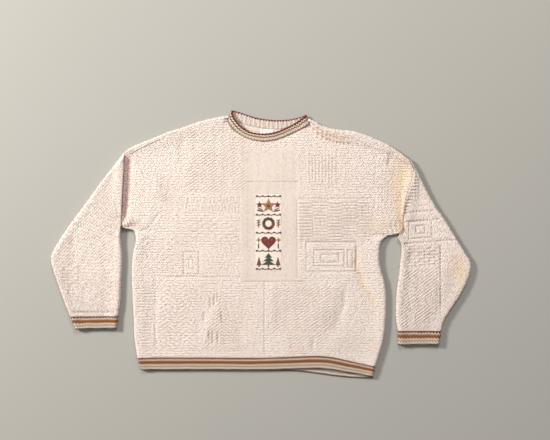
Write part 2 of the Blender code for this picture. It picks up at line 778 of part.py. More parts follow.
def flattened_ring(shares, turn_count):
    """Stations round a flattened tube: share of the way across, angle. The lower face comes first."""
    lower = [(share, -math.pi / 2) for share in shares]
    turn = [k / turn_count * math.pi - math.pi / 2 for k in range(1, turn_count)]
    upper = [(share, math.pi / 2) for share in reversed(shares)]
    return lower + [(1.0, a) for a in turn] + upper + [(0.0, math.pi - a) for a in reversed(turn)]


def even_shares(count):
    return [k / count for k in range(count + 1)]


def tube(name, station, around, outer_rows, inner_rows, outer_relief, inner_relief, colour):
    """A closed wall round a flattened tube. station(v, share, angle) gives its point and normal at v from 0 to 1."""
    mesh = bmesh.new()

    def ring(v, offset):
        placed = []
        for k, (share, angle) in enumerate(around):
            place, normal = station(v, share, angle)
            placed.append(mesh.verts.new((place + normal * offset(v, k, angle)) * MM))
        return placed

    def skin(rows):
        for first, second in zip(rows, rows[1:]):
            for k in range(len(around)):
                mesh.faces.new((first[k - 1], first[k], second[k], second[k - 1]))

    outer = [ring(v, outer_relief) for v in outer_rows]
    inner = [ring(v, lambda v, k, a: -WALL - inner_relief(v, k, a)) for v in inner_rows]
    skin(outer)
    skin(inner)
    skin([outer[0], inner[0]])
    skin([outer[-1], inner[-1]])
    return add_object(name, mesh, colour)


def plain(v, k, angle):
    return 0.0


def flat_station(ends, laid, folds):
    """A station on the section of a flattened tube between two points in plan, folded at both."""
    start, stop = np.array(ends[:2]), np.array(ends[2:])
    length = float(np.linalg.norm(stop - start))
    along = (stop - start) / length

    def place(share, angle):
        run = EDGE_RADIUS + share * (length - 2 * EDGE_RADIUS)
        side = 0.0
        height = 0.0
        if abs(math.cos(angle)) > 1e-6:
            side = math.cos(angle)
            run += EDGE_RADIUS * side
            height = EDGE_RADIUS * (1 + math.sin(angle))
        elif angle > 0:
            plan = start + along * run
            low = laid + (fold_height(*plan) if folds else 0.0)
            near = min(run - EDGE_RADIUS, length - EDGE_RADIUS - run)
            height = low + (FOLDED_EDGE - low) * bell(near / SLEEVE_PUFF)
        x, y = start + along * run
        normal = np.array((along[0] * side, along[1] * side, math.sin(angle)))
        return np.array((x, y, height)), normal

    return place


def make_sleeve(name, table):
    sections = [[at] + list(row) for at, row in enumerate(table)]
    curves = [smooth_curve(sections, column) for column in range(1, 5)]
    last = len(table) - 1

    def station(v, share, angle):
        ends = [curve(v * last) for curve in curves]
        return flat_station(ends, SLEEVE_LAID, True)(share, angle)

    rows = [k / (2 * last) for k in range(2 * last + 1)]
    around = flattened_ring(even_shares(TUBE_STEPS), TURN_STEPS)
    return tube(name, station, around, rows, rows[::2], plain, plain, IVORY)


def ridge(v, k, angle):
    shares = [row[0] for row in BAND_RIDGES]
    heights = [row[1] for row in BAND_RIDGES]
    return float(np.interp(v, shares, heights)) if angle > -math.pi / 2 + 0.3 else 0.0


def make_cuff(name, seam, edge):
    def station(v, share, angle):
        ends = [a + (b - a) * v for a, b in zip(seam, edge)]
        return flat_station(ends, SLEEVE_LAID, False)(share, angle)

    rows = [row[0] for row in BAND_RIDGES]
    around = flattened_ring(even_shares(TUBE_STEPS), TURN_STEPS)
    return tube(name, station, around, rows, (0.0, 1.0), ridge, plain, MAROON)


def ring_between(seam, edge, laid):
    """A station on a band whose seam and free edge are each (left x, right x, front curve, back curve)."""

    def on_loop(loop, share, angle):
        left, right, front, back = loop
        x = left + EDGE_RADIUS + share * (right - left - 2 * EDGE_RADIUS)
        turned = abs(math.cos(angle)) > 1e-6
        if turned:
            x += EDGE_RADIUS * math.cos(angle)
        upward = (1 + math.sin(angle)) / 2
        y = back(x) + (front(x) - back(x)) * ease(2 * (upward - BAND_TURN_START))
        near = min(x - left, right - x) - EDGE_RADIUS
        height = 2 * EDGE_RADIUS * upward
        if not turned and angle > 0:
            height = laid + (FOLDED_EDGE - laid) * bell(near / EDGE_RADIUS / 2)
        return np.array((x, y, height))

    def place(v, share, angle):
        point = on_loop(seam, share, angle) * (1 - v) + on_loop(edge, share, angle) * v
        return point, np.array((math.cos(angle), 0.0, math.sin(angle)))

    return place


def make_hem():
    seam = (*HEM_SEAM_ENDS, hem_front_seam, hem_back_seam)
    edge = (*HEM_EDGE_ENDS, hem_front_edge, hem_back_edge)
    rows = [row[0] for row in BAND_RIDGES]
    station = ring_between(seam, edge, LAID)
    seam_x = [front_point(x, CLOTH_BOTTOM)[0][0] for x in hem_columns()]
    low, high = seam_x[0], seam_x[-1]
    shares = [(x - low) / (high - low) for x in seam_x]
    around = flattened_ring(shares, TURN_STEPS)
    return tube("hem_band", station, around, rows, (0.0, 1.0), ridge, plain, MAROON)


def make_collar():
    seam = (NECK_LEFT, NECK_RIGHT, front_neck, back_neck)
    edge_ends = (COLLAR_FRONT_EDGE[0][0], COLLAR_FRONT_EDGE[-1][0])
    edge = (*edge_ends, smooth_curve(COLLAR_FRONT_EDGE), smooth_curve(COLLAR_BACK_EDGE))

    def rib(v, k, angle):
        """Ribs inside the back of the neck, every second station, fading out at both edges."""
        return COLLAR_RIB * (k % 2) if angle < 0 and 0.01 < v < 0.99 else 0.0

    station = ring_between(seam, edge, COLLAR_LAID)
    rows = [row[0] for row in BAND_RIDGES]
    around = flattened_ring(even_shares(NECK_STEPS), TURN_STEPS)
    return tube("collar", station, around, rows, (0.0, 0.1, 0.9, 1.0), ridge, rib, MAROON)


def make_label():
    centre_x, top_y, width, drop, thickness = LABEL
    mesh = bmesh.new()
    bmesh.ops.create_cube(mesh, size=1.0)
    floor = WALL + SEAM_GAP
    size = np.array((width, drop, thickness))
    middle = np.array((centre_x, top_y - drop / 2, floor + thickness / 2))
    for vert in mesh.verts:
        vert.co = (middle + np.array(vert.co) * size) * MM
    return add_object("neck_label", mesh, LABEL_WHITE)


def centre_on_origin(objects):
    """Moves every mesh so that the middle of the sweater's footprint is the origin."""
    points = np.array([vert.co for obj in objects for vert in obj.data.vertices])
    middle = (points.min(axis=0) + points.max(axis=0)) / 2
    for obj in objects:
        for vert in obj.data.vertices:
            vert.co.x -= middle[0]
            vert.co.y -= middle[1]


def main():
    for obj in list(bpy.data.objects):
        bpy.data.objects.remove(obj, do_unlink=True)
    objects = [
        make_front(),
        make_back(),
        make_sleeve("sleeve_left", LEFT_SLEEVE),
        make_sleeve("sleeve_right", RIGHT_SLEEVE),
        make_collar(),
        make_hem(),
        make_cuff("cuff_left", *LEFT_CUFF),
        make_cuff("cuff_right", *RIGHT_CUFF),
        make_label(),
    ]
    centre_on_origin(objects)


main()
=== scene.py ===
"""Dresses the laid knitted sweater: knit shells over the solids, embroidery, sewn seams, label and stage.

Plan sizes are in millimetres, with +X to the picture's right and +Y to the neck; meshes are made in metres.
"""

import math

import bpy
import numpy as np
from bpy.props import FloatProperty, FloatVectorProperty, PointerProperty
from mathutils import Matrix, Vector


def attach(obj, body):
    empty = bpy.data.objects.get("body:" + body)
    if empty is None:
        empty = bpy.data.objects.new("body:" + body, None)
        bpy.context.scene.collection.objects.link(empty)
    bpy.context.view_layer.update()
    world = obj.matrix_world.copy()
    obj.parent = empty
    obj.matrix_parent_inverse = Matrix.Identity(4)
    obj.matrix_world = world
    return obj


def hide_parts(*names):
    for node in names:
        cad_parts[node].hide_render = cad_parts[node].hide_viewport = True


bl_info = {
    "name": "Laid Knitted Sweater",
    "version": (1, 0, 0),
    "blender": (4, 5, 0),
    "location": "View3D > Sidebar > Sweater",
    "description": "Makes the knit, embroidery, seams and stage of a christmas sweater laid flat",
    "category": "Add Mesh",
}

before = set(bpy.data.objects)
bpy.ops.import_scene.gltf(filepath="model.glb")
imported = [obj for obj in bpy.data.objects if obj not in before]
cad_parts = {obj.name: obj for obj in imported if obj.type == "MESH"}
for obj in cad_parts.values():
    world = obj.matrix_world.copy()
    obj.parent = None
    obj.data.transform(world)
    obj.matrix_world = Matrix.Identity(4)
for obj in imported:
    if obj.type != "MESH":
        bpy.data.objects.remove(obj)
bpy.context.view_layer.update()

MM = 0.001
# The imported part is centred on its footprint, which moves the plan by this much
CENTRED = np.array((-0.203, 0.041, 0.0))

# Thickness of the cloth, gap at a seam, and height of two layers laid flat: body, sleeves and cuffs, collar
WALL, SEAM_GAP = 2.8, 0.3
LAID, TUBE_LAID, COLLAR_LAID = 8.2, 8.2 + 0.4, 9.4
# Height of a folded edge, how far in it stands higher than laid cloth, and the length of cloth in its turn
FOLDED_EDGE, EDGE_PUFF = 11.6, 20.0
EDGE_RADIUS = FOLDED_EDGE / 2
SIDE_ROLL = (EDGE_RADIUS - 0.25) * math.pi / 2

# Cloth coordinates of the body: straight in the middle, eased to the outline near its edges
CLOTH_LEFT, CLOTH_RIGHT = -292.0, 280.0
CLOTH_BOTTOM, CLOTH_TOP = -252.0, 270.0
EASE_WIDTH = 120.0
EASE_ABOVE, EASE_BELOW = 100.0, -200.0

# Body outline at the sides: height, x of the edge
LEFT_SIDE = (
    (-280, -272), (-252, -274), (-230, -277.5), (-201, -281), (-168, -282), (-134, -284), (-101, -285.5),
    (-68, -286.5), (-39, -285.5), (-12, -282), (8, -277.5), (20, -278.3), (28, -280), (32.5, -283),
    (34.5, -289), (35.3, -298), (36, -310.5),
)
RIGHT_SIDE = (
    (-280, 251), (-268, 254.5), (-245, 262), (-223, 268.5), (-201, 273), (-168, 276.5), (-134, 277.5),
    (-101, 276.5), (-79, 273), (-57, 266.5), (-34, 262.5), (-12, 263), (3.3, 266), (12.2, 271.5),
    (16.7, 275.7), (20, 281.5), (22.2, 289), (23.4, 299), (24, 310.5),
)
# Armhole seams: x and y at the shoulder tip, then at the armpit
LEFT_ARMHOLE = ((-301.9, 206.5), (-310.8, 36.0))
RIGHT_ARMHOLE = ((329.7, 188.7), (310.8, 24.0))
# Height of the armpits, and over how much below them the side edge comes to be folded round
LEFT_ARMPIT, RIGHT_ARMPIT, ARMPIT_EASE = 36.0, 24.0, 24.0
# How far the right seam bows outwards below the shoulder, and how far down a sleeve that reaches
ARMHOLE_BOW, BOW_REACH = 11.0, 60.0
# How high the sleeve caps roll over the seams, and how far down a sleeve that reaches
LEFT_LIP, RIGHT_LIP, LIP_REACH = 7.4, 2.6, 30.0
# Ends of the neck opening, and how near them the back's shoulder fold is drawn in and lowered, and how far
NECK_LEFT, NECK_RIGHT = -74.1, 108.3
CORNER_REACH, CORNER_SHIFT, CORNER_DROP = 9.0, 4.0, 2.2

# Folded shoulder line: x, y, and how far the back comes over onto the front
SHOULDERS = (
    (-302, 206, 10), (-291, 214, 14), (-269, 224, 12.5), (-246, 233, 10.5), (-224, 242, 10),
    (-202, 251, 10.5), (-180, 257.5, 11), (-158, 265, 11.5), (-135, 273, 12), (-113, 278.5, 12),
    (-91, 283, 12.5), (-74, 286, 13), (108, 280, 13), (118, 274, 17), (131, 266, 21), (153, 258, 25),
    (175, 254, 27), (198, 251.5, 26), (224, 243, 24), (253, 231, 21), (282, 217.5, 18), (304, 204.5, 16),
    (330, 188.5, 14),
)
# Seams between the collar and the front, and the collar and the back: x, y
FRONT_NECK = (
    (-74.1, 273), (-69.7, 265), (-64.4, 257.5), (-55.5, 249.8), (-45.5, 243.1), (-34.4, 237.3),
    (-11.8, 230.2), (8, 228.7), (28.9, 231.3), (51.1, 238), (71, 246.9), (86.6, 254.6), (97.7, 260.9),
    (108.3, 267),
)
BACK_NECK = (
    (-74.1, 281.4), (-60, 275.6), (-45, 270.5), (-20, 263), (9, 257.5), (35, 256), (60, 258.5), (85, 265),
    (108.3, 275.4),
)
# Free edge of the collar in front and behind: x, y
COLLAR_FRONT_EDGE = (
    (-64.4, 289), (-58.4, 279.7), (-44.4, 263.1), (-27.3, 251.3), (-6.7, 246.4), (15.5, 246.4), (35.5, 250.6),
    (57.7, 260), (78.8, 271.3), (93.2, 281.5), (100, 287),
)
COLLAR_BACK_EDGE = (
    (-64.4, 297.5), (-48.8, 294.2), (-34.4, 289), (-20, 284.6), (-6.7, 281), (8.9, 278.4), (22.2, 276.8),
    (35.5, 276.2), (51.1, 276.6), (64.4, 277.8), (82.1, 281.5), (100, 287.5),
)
# Hem band: x, y of the front's seam and lower edge, y of the back's seam and lower edge
HEM = (
    (-274, -251.5, -277.5, -252, -279), (-246, -251, -278.2, -252, -279.5),
    (-120, -251, -278.2, -252, -279.5), (20, -251, -278.2, -252.5, -280), (86, -248.5, -276.2, -254, -282),
    (131, -247.5, -275.5, -259.5, -287.5), (164, -251, -279, -264, -292), (186, -256, -283, -267, -294.5),
    (209, -261, -286.5, -269.5, -296), (231, -266, -290.5, -271, -297), (255, -270.5, -294, -272.5, -297.5),
)
HEM_SEAM_ENDS = (-274.0, 253.6)
HEM_EDGE_ENDS = (-265.0, 248.0)
# Sleeve sections from the armhole to the cuff: x, y on the outer edge, x, y on the inner edge
LEFT_SLEEVE = (
    (-302.2, 206.5, -311.1, 36), (-328.5, 172, -311.5, 28), (-357.5, 134.5, -312, 16), (-391, 88, -311, 3),
    (-424, 43.5, -309, -11.5), (-450.5, 3.5, -308.5, -25), (-465, -26.5, -308.5, -39.5),
    (-462, -52, -309.5, -60), (-451, -84.5, -311, -88), (-437.5, -123, -312.5, -124.5),
    (-423, -160, -317.5, -159),
)
RIGHT_SLEEVE = (
    (330, 188.7, 311.1, 24), (344, 164.5, 304.5, 14), (364, 125.5, 311.5, 1.5), (386.5, 85.5, 312, -9.5),
    (408.5, 54, 312, -20), (431, 16.5, 311, -30), (453, -19, 309.5, -39), (465.5, -42, 308.5, -52),
    (460.5, -73, 305.5, -76.5), (444, -108, 301, -110), (420, -145, 299.5, -146.5),
    (405.5, -169.5, 301, -171), (399.5, -191.5, 304, -191.5),
)
# Cuffs: seam line and lower edge, each as x, y of the outer end and x, y of the inner end
LEFT_CUFF = ((-422.6, -160.4, -317.6, -159.4), (-412.0, -187.6, -320.0, -185.6))
RIGHT_CUFF = ((399.4, -191.9, 304.1, -191.9), (395.5, -222.0, 305.5, -222.5))

DEEPEST_FOLD = -2.3
# Folds of the front and of the sleeves' upper faces: x, y at each end, half width, height
FOLDS = (
    (-297, 196, -303, 66, 13, -1.9), (-304, 44, -281, 51, 7, 2.4), (295, 183, 297, 30, 19, -1.8),
    (213, -12, 213, -48, 9, -1.4), (213, -48, 226, -92, 10, -1.8), (226, -92, 257, -136, 10, -1.7),
    (182, -120, 160, -185, 12, -1.4), (-229, -74, -237, -163, 12, -1.4), (-316, 192, -321, 72, 11, 3),
    (-417, 10, -420, -46, 11, -1.7), (-433, -48, -413, -110, 10, -1.6), (-340, 138, -405, 30, 20, 1.6),
    (338, 165, 324, 38, 11, 3), (322, -17, 398, -39, 12, -1.8), (372, 84, 424, 0, 20, 1.6),
)
# Finer creases that only the dressed cloth has
CREASES = (
    # Troughs of the body beside the armhole seams, and a puff over the right armpit
    (-295, 202, -297, 120, 9, -3.4), (-297, 120, -305, 64, 7, -3.2), (314, 176, 308, 112, 15, -2),
    (308, 112, 311, 26, 7, -2.4), (286, 62, 290, 38, 14, 1.5),
    # Line of the left shoulder seam
    (-291, 203, -226, 230, 1.9, -1.7),
    # Short folds that run out of the armpits
    (-310, 41, -281, 53, 8, 3.4), (-271, 26.5, -248, 39, 2.6, -2.2), (-248, 39, -223, 72, 2.6, -1.4),
    (-274, 16, -231, 35, 3, -1.2), (-271, 4, -240, 16, 4, -0.8), (303, 28, 300, 50, 2.4, -2),
    (295, 27, 289, 49, 2.4, -2), (287, 24, 277, 45, 2.4, -1.8), (280, 18, 267, 36, 2.4, -1.6),
    (274, 11, 259, 25, 2.4, -1.5), (269, 3, 253, 13, 2.4, -1.2),
    # Soft vertical folds of the chest and shoulders
    (-178, 250, -176, 176, 9, -1.6), (-217, 154, -224, 99, 7, -1.5), (287, 205, 282, 176, 3.2, -2.4),
    (258, 222, 262, 176, 8, -0.8), (-60, 196, -84, 120, 16, -0.6), (-140, 36, -168, -52, 17, -0.7),
    (228, 120, 246, 24, 16, -0.8),
    # The pinched crease at the right, and the hollow beside it
    (213, -12, 212, -45, 3.4, -1.3), (212, -45, 225, -90, 3.4, -1.5), (225, -90, 243, -118, 3.4, -1.3),
    (243, -118, 259, -138, 3.6, -1), (187, -94, 183, -138, 5.5, -1.6), (183, -138, 162, -184, 6, -0.9),
    (118, -207, 113, -234, 4, -1.2), (268, -10, 246, -44, 5, -1.1),
    # Long soft folds below the chest
    (-124, -123, -140, -212, 10, -0.9), (-235, -168, -229, -234, 3, -1), (-30, -96, -44, -216, 16, -0.6),
    (48, -100, 40, -196, 18, -0.6),
    # Sleeves
    (-404, 96, -372, 44, 9, -0.9), (-352, 4, -340, -72, 12, -0.8), (-418, 14, -420, -48, 7, -0.9),
    (-388, -96, -396, -144, 9, -0.9), (400, 62, 330, 56, 7, -0.6), (436, -36, 420, -92, 10, -1),
    (352, -70, 344, -150, 13, -0.7), (339, -8, 320, -52, 7, -1.6),
)
# Short ribs of the crumple in the left armpit, streaks in the fir block and ticks by the left armhole:
# x, y at each end
ARMPIT_RIBS = (
    (-310, 50, -305, 36), (-303.6, 53, -298.4, 38), (-297.2, 56, -292, 41), (-290.8, 59, -285.6, 45),
    (-284.6, 61, -280, 50),
)
FIR_STREAKS = (
    (-112.5, -118, -112.5, -142), (-103.5, -112, -104.5, -136), (-96, -108, -97, -128),
    (-115, -190, -115, -212), (-107, -188, -107.5, -219), (-96, -192, -96, -221), (-126, -150, -128, -172),
    (-88, -150, -86, -176),
)
SHOULDER_TICKS = tuple((-226.0, 96.0 + 6.8 * k, -211.0, 103.5 + 6.8 * k) for k in range(8))
CREASES += tuple((*line, 2.0, -3.4) for line in ARMPIT_RIBS)
CREASES += tuple((*line, 2.2, -2.0) for line in FIR_STREAKS)
# Thin places darkened with painted shade, for the shade that seams, creases and folds lie in: x, y at each
# end, half width, strength
SHADED = (
    (-294, 200, -295.5, 125, 5, 0.35), (-295.5, 125, -303, 72, 4, 0.3), (-302.5, 197, -304.5, 120, 2.2, 0.15),
    (-304.5, 120, -310, 56, 2.2, 0.4), (-281, 58, -291, 47, 2.4, 0.8), (-271, 26.5, -248, 39, 1.7, 0.8),
    (-248, 39, -223, 72, 1.8, 0.35), (-178, 244, -176, 182, 8, 0.18), (285, 204, 281, 177, 3, 1),
    (315, 133, 299, 96, 1.6, 0.5), (310, 54, 312, 18, 3, 0.5), (211, -14, 210, -45, 1.5, 0.3),
    (187, -92, 183, -138, 4.5, 0.4), (183, -138, 162, -184, 5, 0.2), (118, -207, 113, -234, 2, 0.4),
    (339, -8, 320, -52, 7, 0.35), (-417, 14, -420, -60, 9, 0.22),
)
# The armpit ribs, fir streaks and shoulder ticks also get painted shade
SHADED += tuple((*line, 1.7, 1.0) for line in ARMPIT_RIBS)
SHADED += tuple((*line, 1.7, 0.95) for line in FIR_STREAKS)
SHADED += tuple((*line, 1.3, 0.5) for line in SHOULDER_TICKS)
# Folds pressed into the underside, each a soft trough
BACK_FOLDS = (
    (-190, 214, -204, 96, 10, 1.5), (-120, 120, -176, -40, 13, 1.3), (-238, 20, -196, -96, 9, 1.6),
    (-60, -70, -92, -226, 12, 1.2), (54, 208, 30, 70, 14, 1.2), (120, 30, 172, -96, 10, 1.7),
    (236, 150, 214, 44, 12, 1.4), (206, -110, 176, -236, 9, 1.5), (8, -10, 52, -150, 15, 1),
    (-262, -120, -244, -214, 8, 1.3), (-400, 52, -366, -12, 9, 1.4), (-430, -40, -398, -120, 8, 1.2),
    (-340, 92, -352, -20, 11, 1.1), (398, 44, 352, -22, 9, 1.4), (430, -48, 372, -120, 9, 1.3),
    (352, 112, 330, 20, 10, 1.1),
)

# Pitch of the ribs of most knitted blocks, and of the ground's grain
BLOCK_PITCH = 7.3
# Knitted blocks in the plain ground: kind, left x, right x, lower y, upper y, height, then columns and pitch
# where they aren't 1 and BLOCK_PITCH
FRONT_BLOCKS = (
    ("slant", -170, -30, 118, 262, 0.6), ("slant", -228, -206, 94, 158, 0.9, 1, 5.6),
    ("seed", -47, -30, -76, 136, 0.6, 1, 6.6), ("uprights", -180, -50, 72, 110, 0.5, 2),
    ("ticks", -206, -50, 0, 64, 0.45), ("frame", -174, -136, -68, -14, -0.8),
    ("frame", -162, -148, -56, -26, -0.6), ("ticks", -270, -190, -62, 20, 0.4),
    ("line_across", -212, -46, -73, -69, -1), ("bars", -268, -246, -234, -90, 0.5),
    ("line", -237, -233, -236, -80, -0.8), ("zigzag", -228, -142, -234, -84, 0.45),
    ("tree", -138, -34, -236, -98, 0.7), ("line", 78, 82, -76, 98, -1),
    ("line_across", -30, 82, 137, 141, -0.8), ("line_across", -42, 98, -84, -80, -1),
    ("line", 5, 9, -244, -80, -1.1), ("slant", 18, 176, -192, -90, 0.65),
    ("slant", 52, 144, -240, -192, 0.55), ("seed", 150, 250, -238, -200, 0.6),
    ("seed", 182, 262, -192, -80, 0.35), ("bars", 82, 246, 10, 98, 0.85, 5), ("frame", 98, 213, -62, 8, -1.1),
    ("frame", 115, 187, -50, -10, -1), ("frame", 131, 175, -41, -19, -0.9),
    ("frame", 190, 205, -52, -10, -0.9), ("line_across", 213, 270, -66, -62, -0.8),
    ("uprights", 100, 166, 132, 206, 0.55), ("seed", 170, 250, 126, 212, 0.5),
    ("uprights", 254, 292, 70, 170, 0.3), ("line_across", 82, 246, 100, 104, -0.7),
)
BACK_BLOCKS = (
    ("slant", -230, -90, 40, 190, 0.6), ("bars", -60, 90, 60, 200, 0.6, 5), ("seed", 110, 250, 40, 190, 0.5),
    ("line_across", -250, 250, 20, 28, 0.7, 1, 8), ("uprights", -240, -110, -120, 0, 0.6, 3, 9.2),
    ("tree", -70, 70, -200, 0, 0.7, 1, 16.7), ("slant", 100, 240, -140, 0, 0.6),
    ("line_across", -250, 240, -228, -220, 0.7, 1, 8),
)
# Blocks on the sleeves, in plan
LEFT_SLEEVE_BLOCKS = (
    ("seed", -470, -330, -40, 190, 0.3), ("slant", -372, -318, -150, 40, 0.3),
    ("ticks", -446, -402, -124, -40, 0.55), ("line_across", -440, -314, -152, -147, -0.9),
)
RIGHT_SLEEVE_BLOCKS = (
    ("uprights", 336, 400, 96, 186, 0.3), ("line_across", 320, 420, 68, 73, -1.3),
    ("line_across", 320, 440, 48, 53, -1.4), ("frame", 326, 381, 9, 51, -1.3),
    ("frame", 342, 366, 19, 41, -1.2), ("line_across", 312, 452, -1, 4, -1.5),
    ("ticks", 322, 396, -50, -2, 0.9), ("line", 396, 401, -190, -10, -1.4),
    ("slant", 303, 392, -190, -52, 0.7), ("seed", 404, 460, -156, -26, 0.4),
)
# The right sleeve's courses rise to the right by this slope, measured from its armpit
COURSE_SLOPE, COURSE_START = 0.085, 318.0
# Soft borders of the blocks: of a column of bars, of a block, and of a line of a frame
COLUMN_INSET, BLOCK_FADE, FRAME_WIDTH = 3.0, 4.0, 4.4
# How deep a dip has to be for the darkest painted shade
DIP_DEPTH = 0.55
# Places tinted yellow along the valleys, creases and right shoulder seam, in plan: x, y at each end, half
# width, strength
YELLOW_TINTED = (
    (118, 250, 190, 232, 11, 0.6), (314, 184, 306, 112, 21, 0.95), (306, 112, 311, 26, 10, 1),
    (232, 48, 290, 40, 18, 0.4), (213, -12, 212, -45, 4.5, 0.9), (212, -45, 225, -90, 4.5, 1),
    (225, -90, 258, -137, 4.5, 0.85), (432, -28, 446, -80, 17, 0.8),
)

# Stripes of the bands: share of the height from the seam where each begins, name of its colour. The last,
# edge, is painted shade on the free edge that rolls under
HEM_STRIPES = (
    (0, "brick"), (0.13, "cream"), (0.24, "brown"), (0.52, "cream"), (0.64, "green"), (0.78, "cream"),
    (0.92, "edge"),
)
COLLAR_STRIPES = ((0.0, "green"), (0.18, "cream"), (0.43, "olive"), (0.59, "cream"), (0.755, "maroon"))
# Purl ridges across a band: share of its height from the seam, height
BAND_RIDGES = ((0.0, 0.0), (0.09, 0.9), (0.22, 0.1), (0.42, 1.0), (0.60, 0.1), (0.80, 0.9), (1.0, 0.3))
# Label: x of its middle, y of its top, width, length, thickness
LABEL = (13.0, 256.3, 31.0, 17.0, 0.8)
# Places given painted warm shade, a pink tint where the cloth lies in shade, in the same form as the
# yellow-tinted places
PAINTED_WARM_SHADE = (
    (-295.5, 202, -297.5, 120, 7.5, 1), (-297.5, 120, -306, 62, 6, 1), (-306, 40, -284, 50, 7, 0.5),
    (120, 246, 190, 228, 7, 0.35), (288, 204, 283, 178, 4, 0.5), (309, 56, 312, 20, 4, 0.8),
)


def amount(name, words, value, **kind):
    return FloatProperty(name=name, description=words, default=value, **kind)


def colour(name, words, value):
    limits = {"min": 0.0, "max": 1.0}
    return FloatVectorProperty(name=name, description=words, default=value, subtype="COLOR", size=3, **limits)


class SweaterSizes(bpy.types.PropertyGroup):
    """Knit sizes that a user would change."""

    stitch_width: amount("Stitch width", "Width of one knit stitch", 5.0 * MM, unit="LENGTH")
    stitch_height: amount("Stitch height", "Height of one knit stitch", 3.6 * MM, unit="LENGTH")
    stitch_depth: amount("Stitch depth", "Depth of the stitches in the surface", 2.0 * MM, unit="LENGTH")
    block_relief: amount("Block relief", "Height of the knitted blocks, as a share of their own", 1.75)
    fold_depth: amount("Crease depth", "Depth of the finer creases, as a share of their own", 1.0)
    thread: amount("Seam thread", "Thickness of the sewing yarn", 0.9 * MM, unit="LENGTH")


class SweaterColours(bpy.types.PropertyGroup):
    """Yarn colours, as scene linear values."""

    ivory: colour("Ivory", "Main yarn", (0.89, 0.80, 0.735))
    # Painted shade of the ivory yarn, laid between the stitches and in the dips
    ivory_painted_shade: colour("Ivory in the dips", "Main yarn between the stitches", (0.50, 0.385, 0.33))
    cream: colour("Cream", "Light stripes of the bands", (0.93, 0.79, 0.66))
    maroon: colour("Maroon", "Dark red stripes and motifs", (0.19, 0.036, 0.028))
    brick: colour("Brick", "Thin red brown stripe of hem and cuffs", (0.23, 0.075, 0.045))
    # Painted shade: dark stripe for the free edge of hem and cuffs, where it rolls under away from the light
    edge: colour("Shaded edge", "Free edge of hem and cuffs, in its own shade", (0.115, 0.08, 0.06))
    brown: colour("Golden brown", "Wide stripe of hem and cuffs", (0.30, 0.115, 0.035))
    olive: colour("Olive brown", "Thin stripe of the collar", (0.16, 0.080, 0.036))
    green: colour("Grey green", "Thin green stripe", (0.42, 0.365, 0.28))
    forest: colour("Forest green", "Green embroidery", (0.050, 0.085, 0.048))
    tan: colour("Golden tan", "Tan embroidery", (0.36, 0.20, 0.075))
    label: colour("Label white", "Woven label", (0.70, 0.66, 0.65))


class SweaterStage(bpy.types.PropertyGroup):
    """Floor, light and camera."""

    floor: colour("Floor", "Colour of the floor", (0.340, 0.329, 0.298))
    light_power: amount("Light power", "Power of the main soft light", 177.0, unit="POWER")
    top_power: amount("Top light power", "Power of the weaker light past the neck", 41.5, unit="POWER")
    fill: amount("Fill light", "Strength of the light from all round", 0.41)
    camera_height: amount("Camera height", "Height of the camera over the floor", 1.702, unit="LENGTH")
    lens: amount("Lens", "Focal length for a 36 mm wide sensor", 50.0, subtype="DISTANCE_CAMERA")


def sizes():
    return bpy.context.scene.sweater_sizes


def colours():
    return bpy.context.scene.sweater_colours


# Shape of the cloth


def smooth_curve(points, column=1):
    """A smooth function of arrays through a table's rows, from its first column to the one named."""
    at = np.array([row[0] for row in points])
    value = np.array([row[column] for row in points])
    slope = np.gradient(value, at)

    def read(x):
        x = np.clip(x, at[0], at[-1])
        i = np.clip(np.searchsorted(at, x) - 1, 0, len(at) - 2)
        span = at[i + 1] - at[i]
        t = (x - at[i]) / span
        low = (2 * t**3 - 3 * t**2 + 1) * value[i] + (t**3 - 2 * t**2 + t) * span * slope[i]
        high = (3 * t**2 - 2 * t**3) * value[i + 1] + (t**3 - t**2) * span * slope[i + 1]
        return low + high

    return read


def ease(t):
    """From 0 to 1 with no kink at either end."""
    t = np.clip(t, 0.0, 1.0)
    return t * t * (3 - 2 * t)


def bell(t):
    """1 at 0, fading softly to 0 about two units either side."""
    return np.exp(-t * t)


def wave(t):
    """0 at whole numbers, 1 halfway between them, round at both."""
    return 0.5 - 0.5 * np.cos(2 * math.pi * t)


def split_curve(points, column):
    """The shoulder table as two curves, left and right of the neck."""
    left = smooth_curve([row for row in points if row[0] < 0], column)
    right = smooth_curve([row for row in points if row[0] > 0], column)
    return lambda x: np.where(x < 0, left(x), right(x))


left_side = smooth_curve(LEFT_SIDE)
right_side = smooth_curve(RIGHT_SIDE)
shoulder_line = split_curve(SHOULDERS, 1)
shoulder_overlap = split_curve(SHOULDERS, 2)
front_neck = smooth_curve(FRONT_NECK)
back_neck = smooth_curve(BACK_NECK)
hem_front_seam, hem_front_edge, hem_back_seam, hem_back_edge = (smooth_curve(HEM, k) for k in (1, 2, 3, 4))


def line_x(line, y):
    """x at this height on a straight line between two points."""
    (top_x, top_y), (low_x, low_y) = line
    return low_x + (top_x - low_x) * (y - low_y) / (top_y - low_y)


def armhole_bow(share):
    """How far the right armhole seam bows outwards, by the share of its length below the shoulder."""
    return ARMHOLE_BOW * ease(share / 0.15) * ease((0.62 - share) / 0.45)


def left_seam(y):
    return line_x(LEFT_ARMHOLE, y)


def right_seam(y):
    (_, top_y), (_, low_y) = RIGHT_ARMHOLE
    return line_x(RIGHT_ARMHOLE, y) + armhole_bow((top_y - y) / (top_y - low_y))


def left_edge(y):
    """x where the body ends at the left: by the armhole seam, and below the armpit its outline."""
    return np.where(y >= LEFT_ARMPIT, left_seam(y) + SEAM_GAP, left_side(y))


def right_edge(y):
    return np.where(y >= RIGHT_ARMPIT, right_seam(y) - SEAM_GAP, right_side(y))


def side_turn(y, armpit):
    """How far the side edge is folded round: 0 at the armhole, a quarter turn below it."""
    return ease((armpit - y) / ARMPIT_EASE)


def roll(turn):
    """Radius and reach of an edge of length SIDE_ROLL folded through this share of a quarter turn."""
    radius = SIDE_ROLL / (np.maximum(turn, 0.02) * math.pi / 2)
    return radius, np.where(turn < 0.02, SIDE_ROLL, radius * np.sin(turn * math.pi / 2))


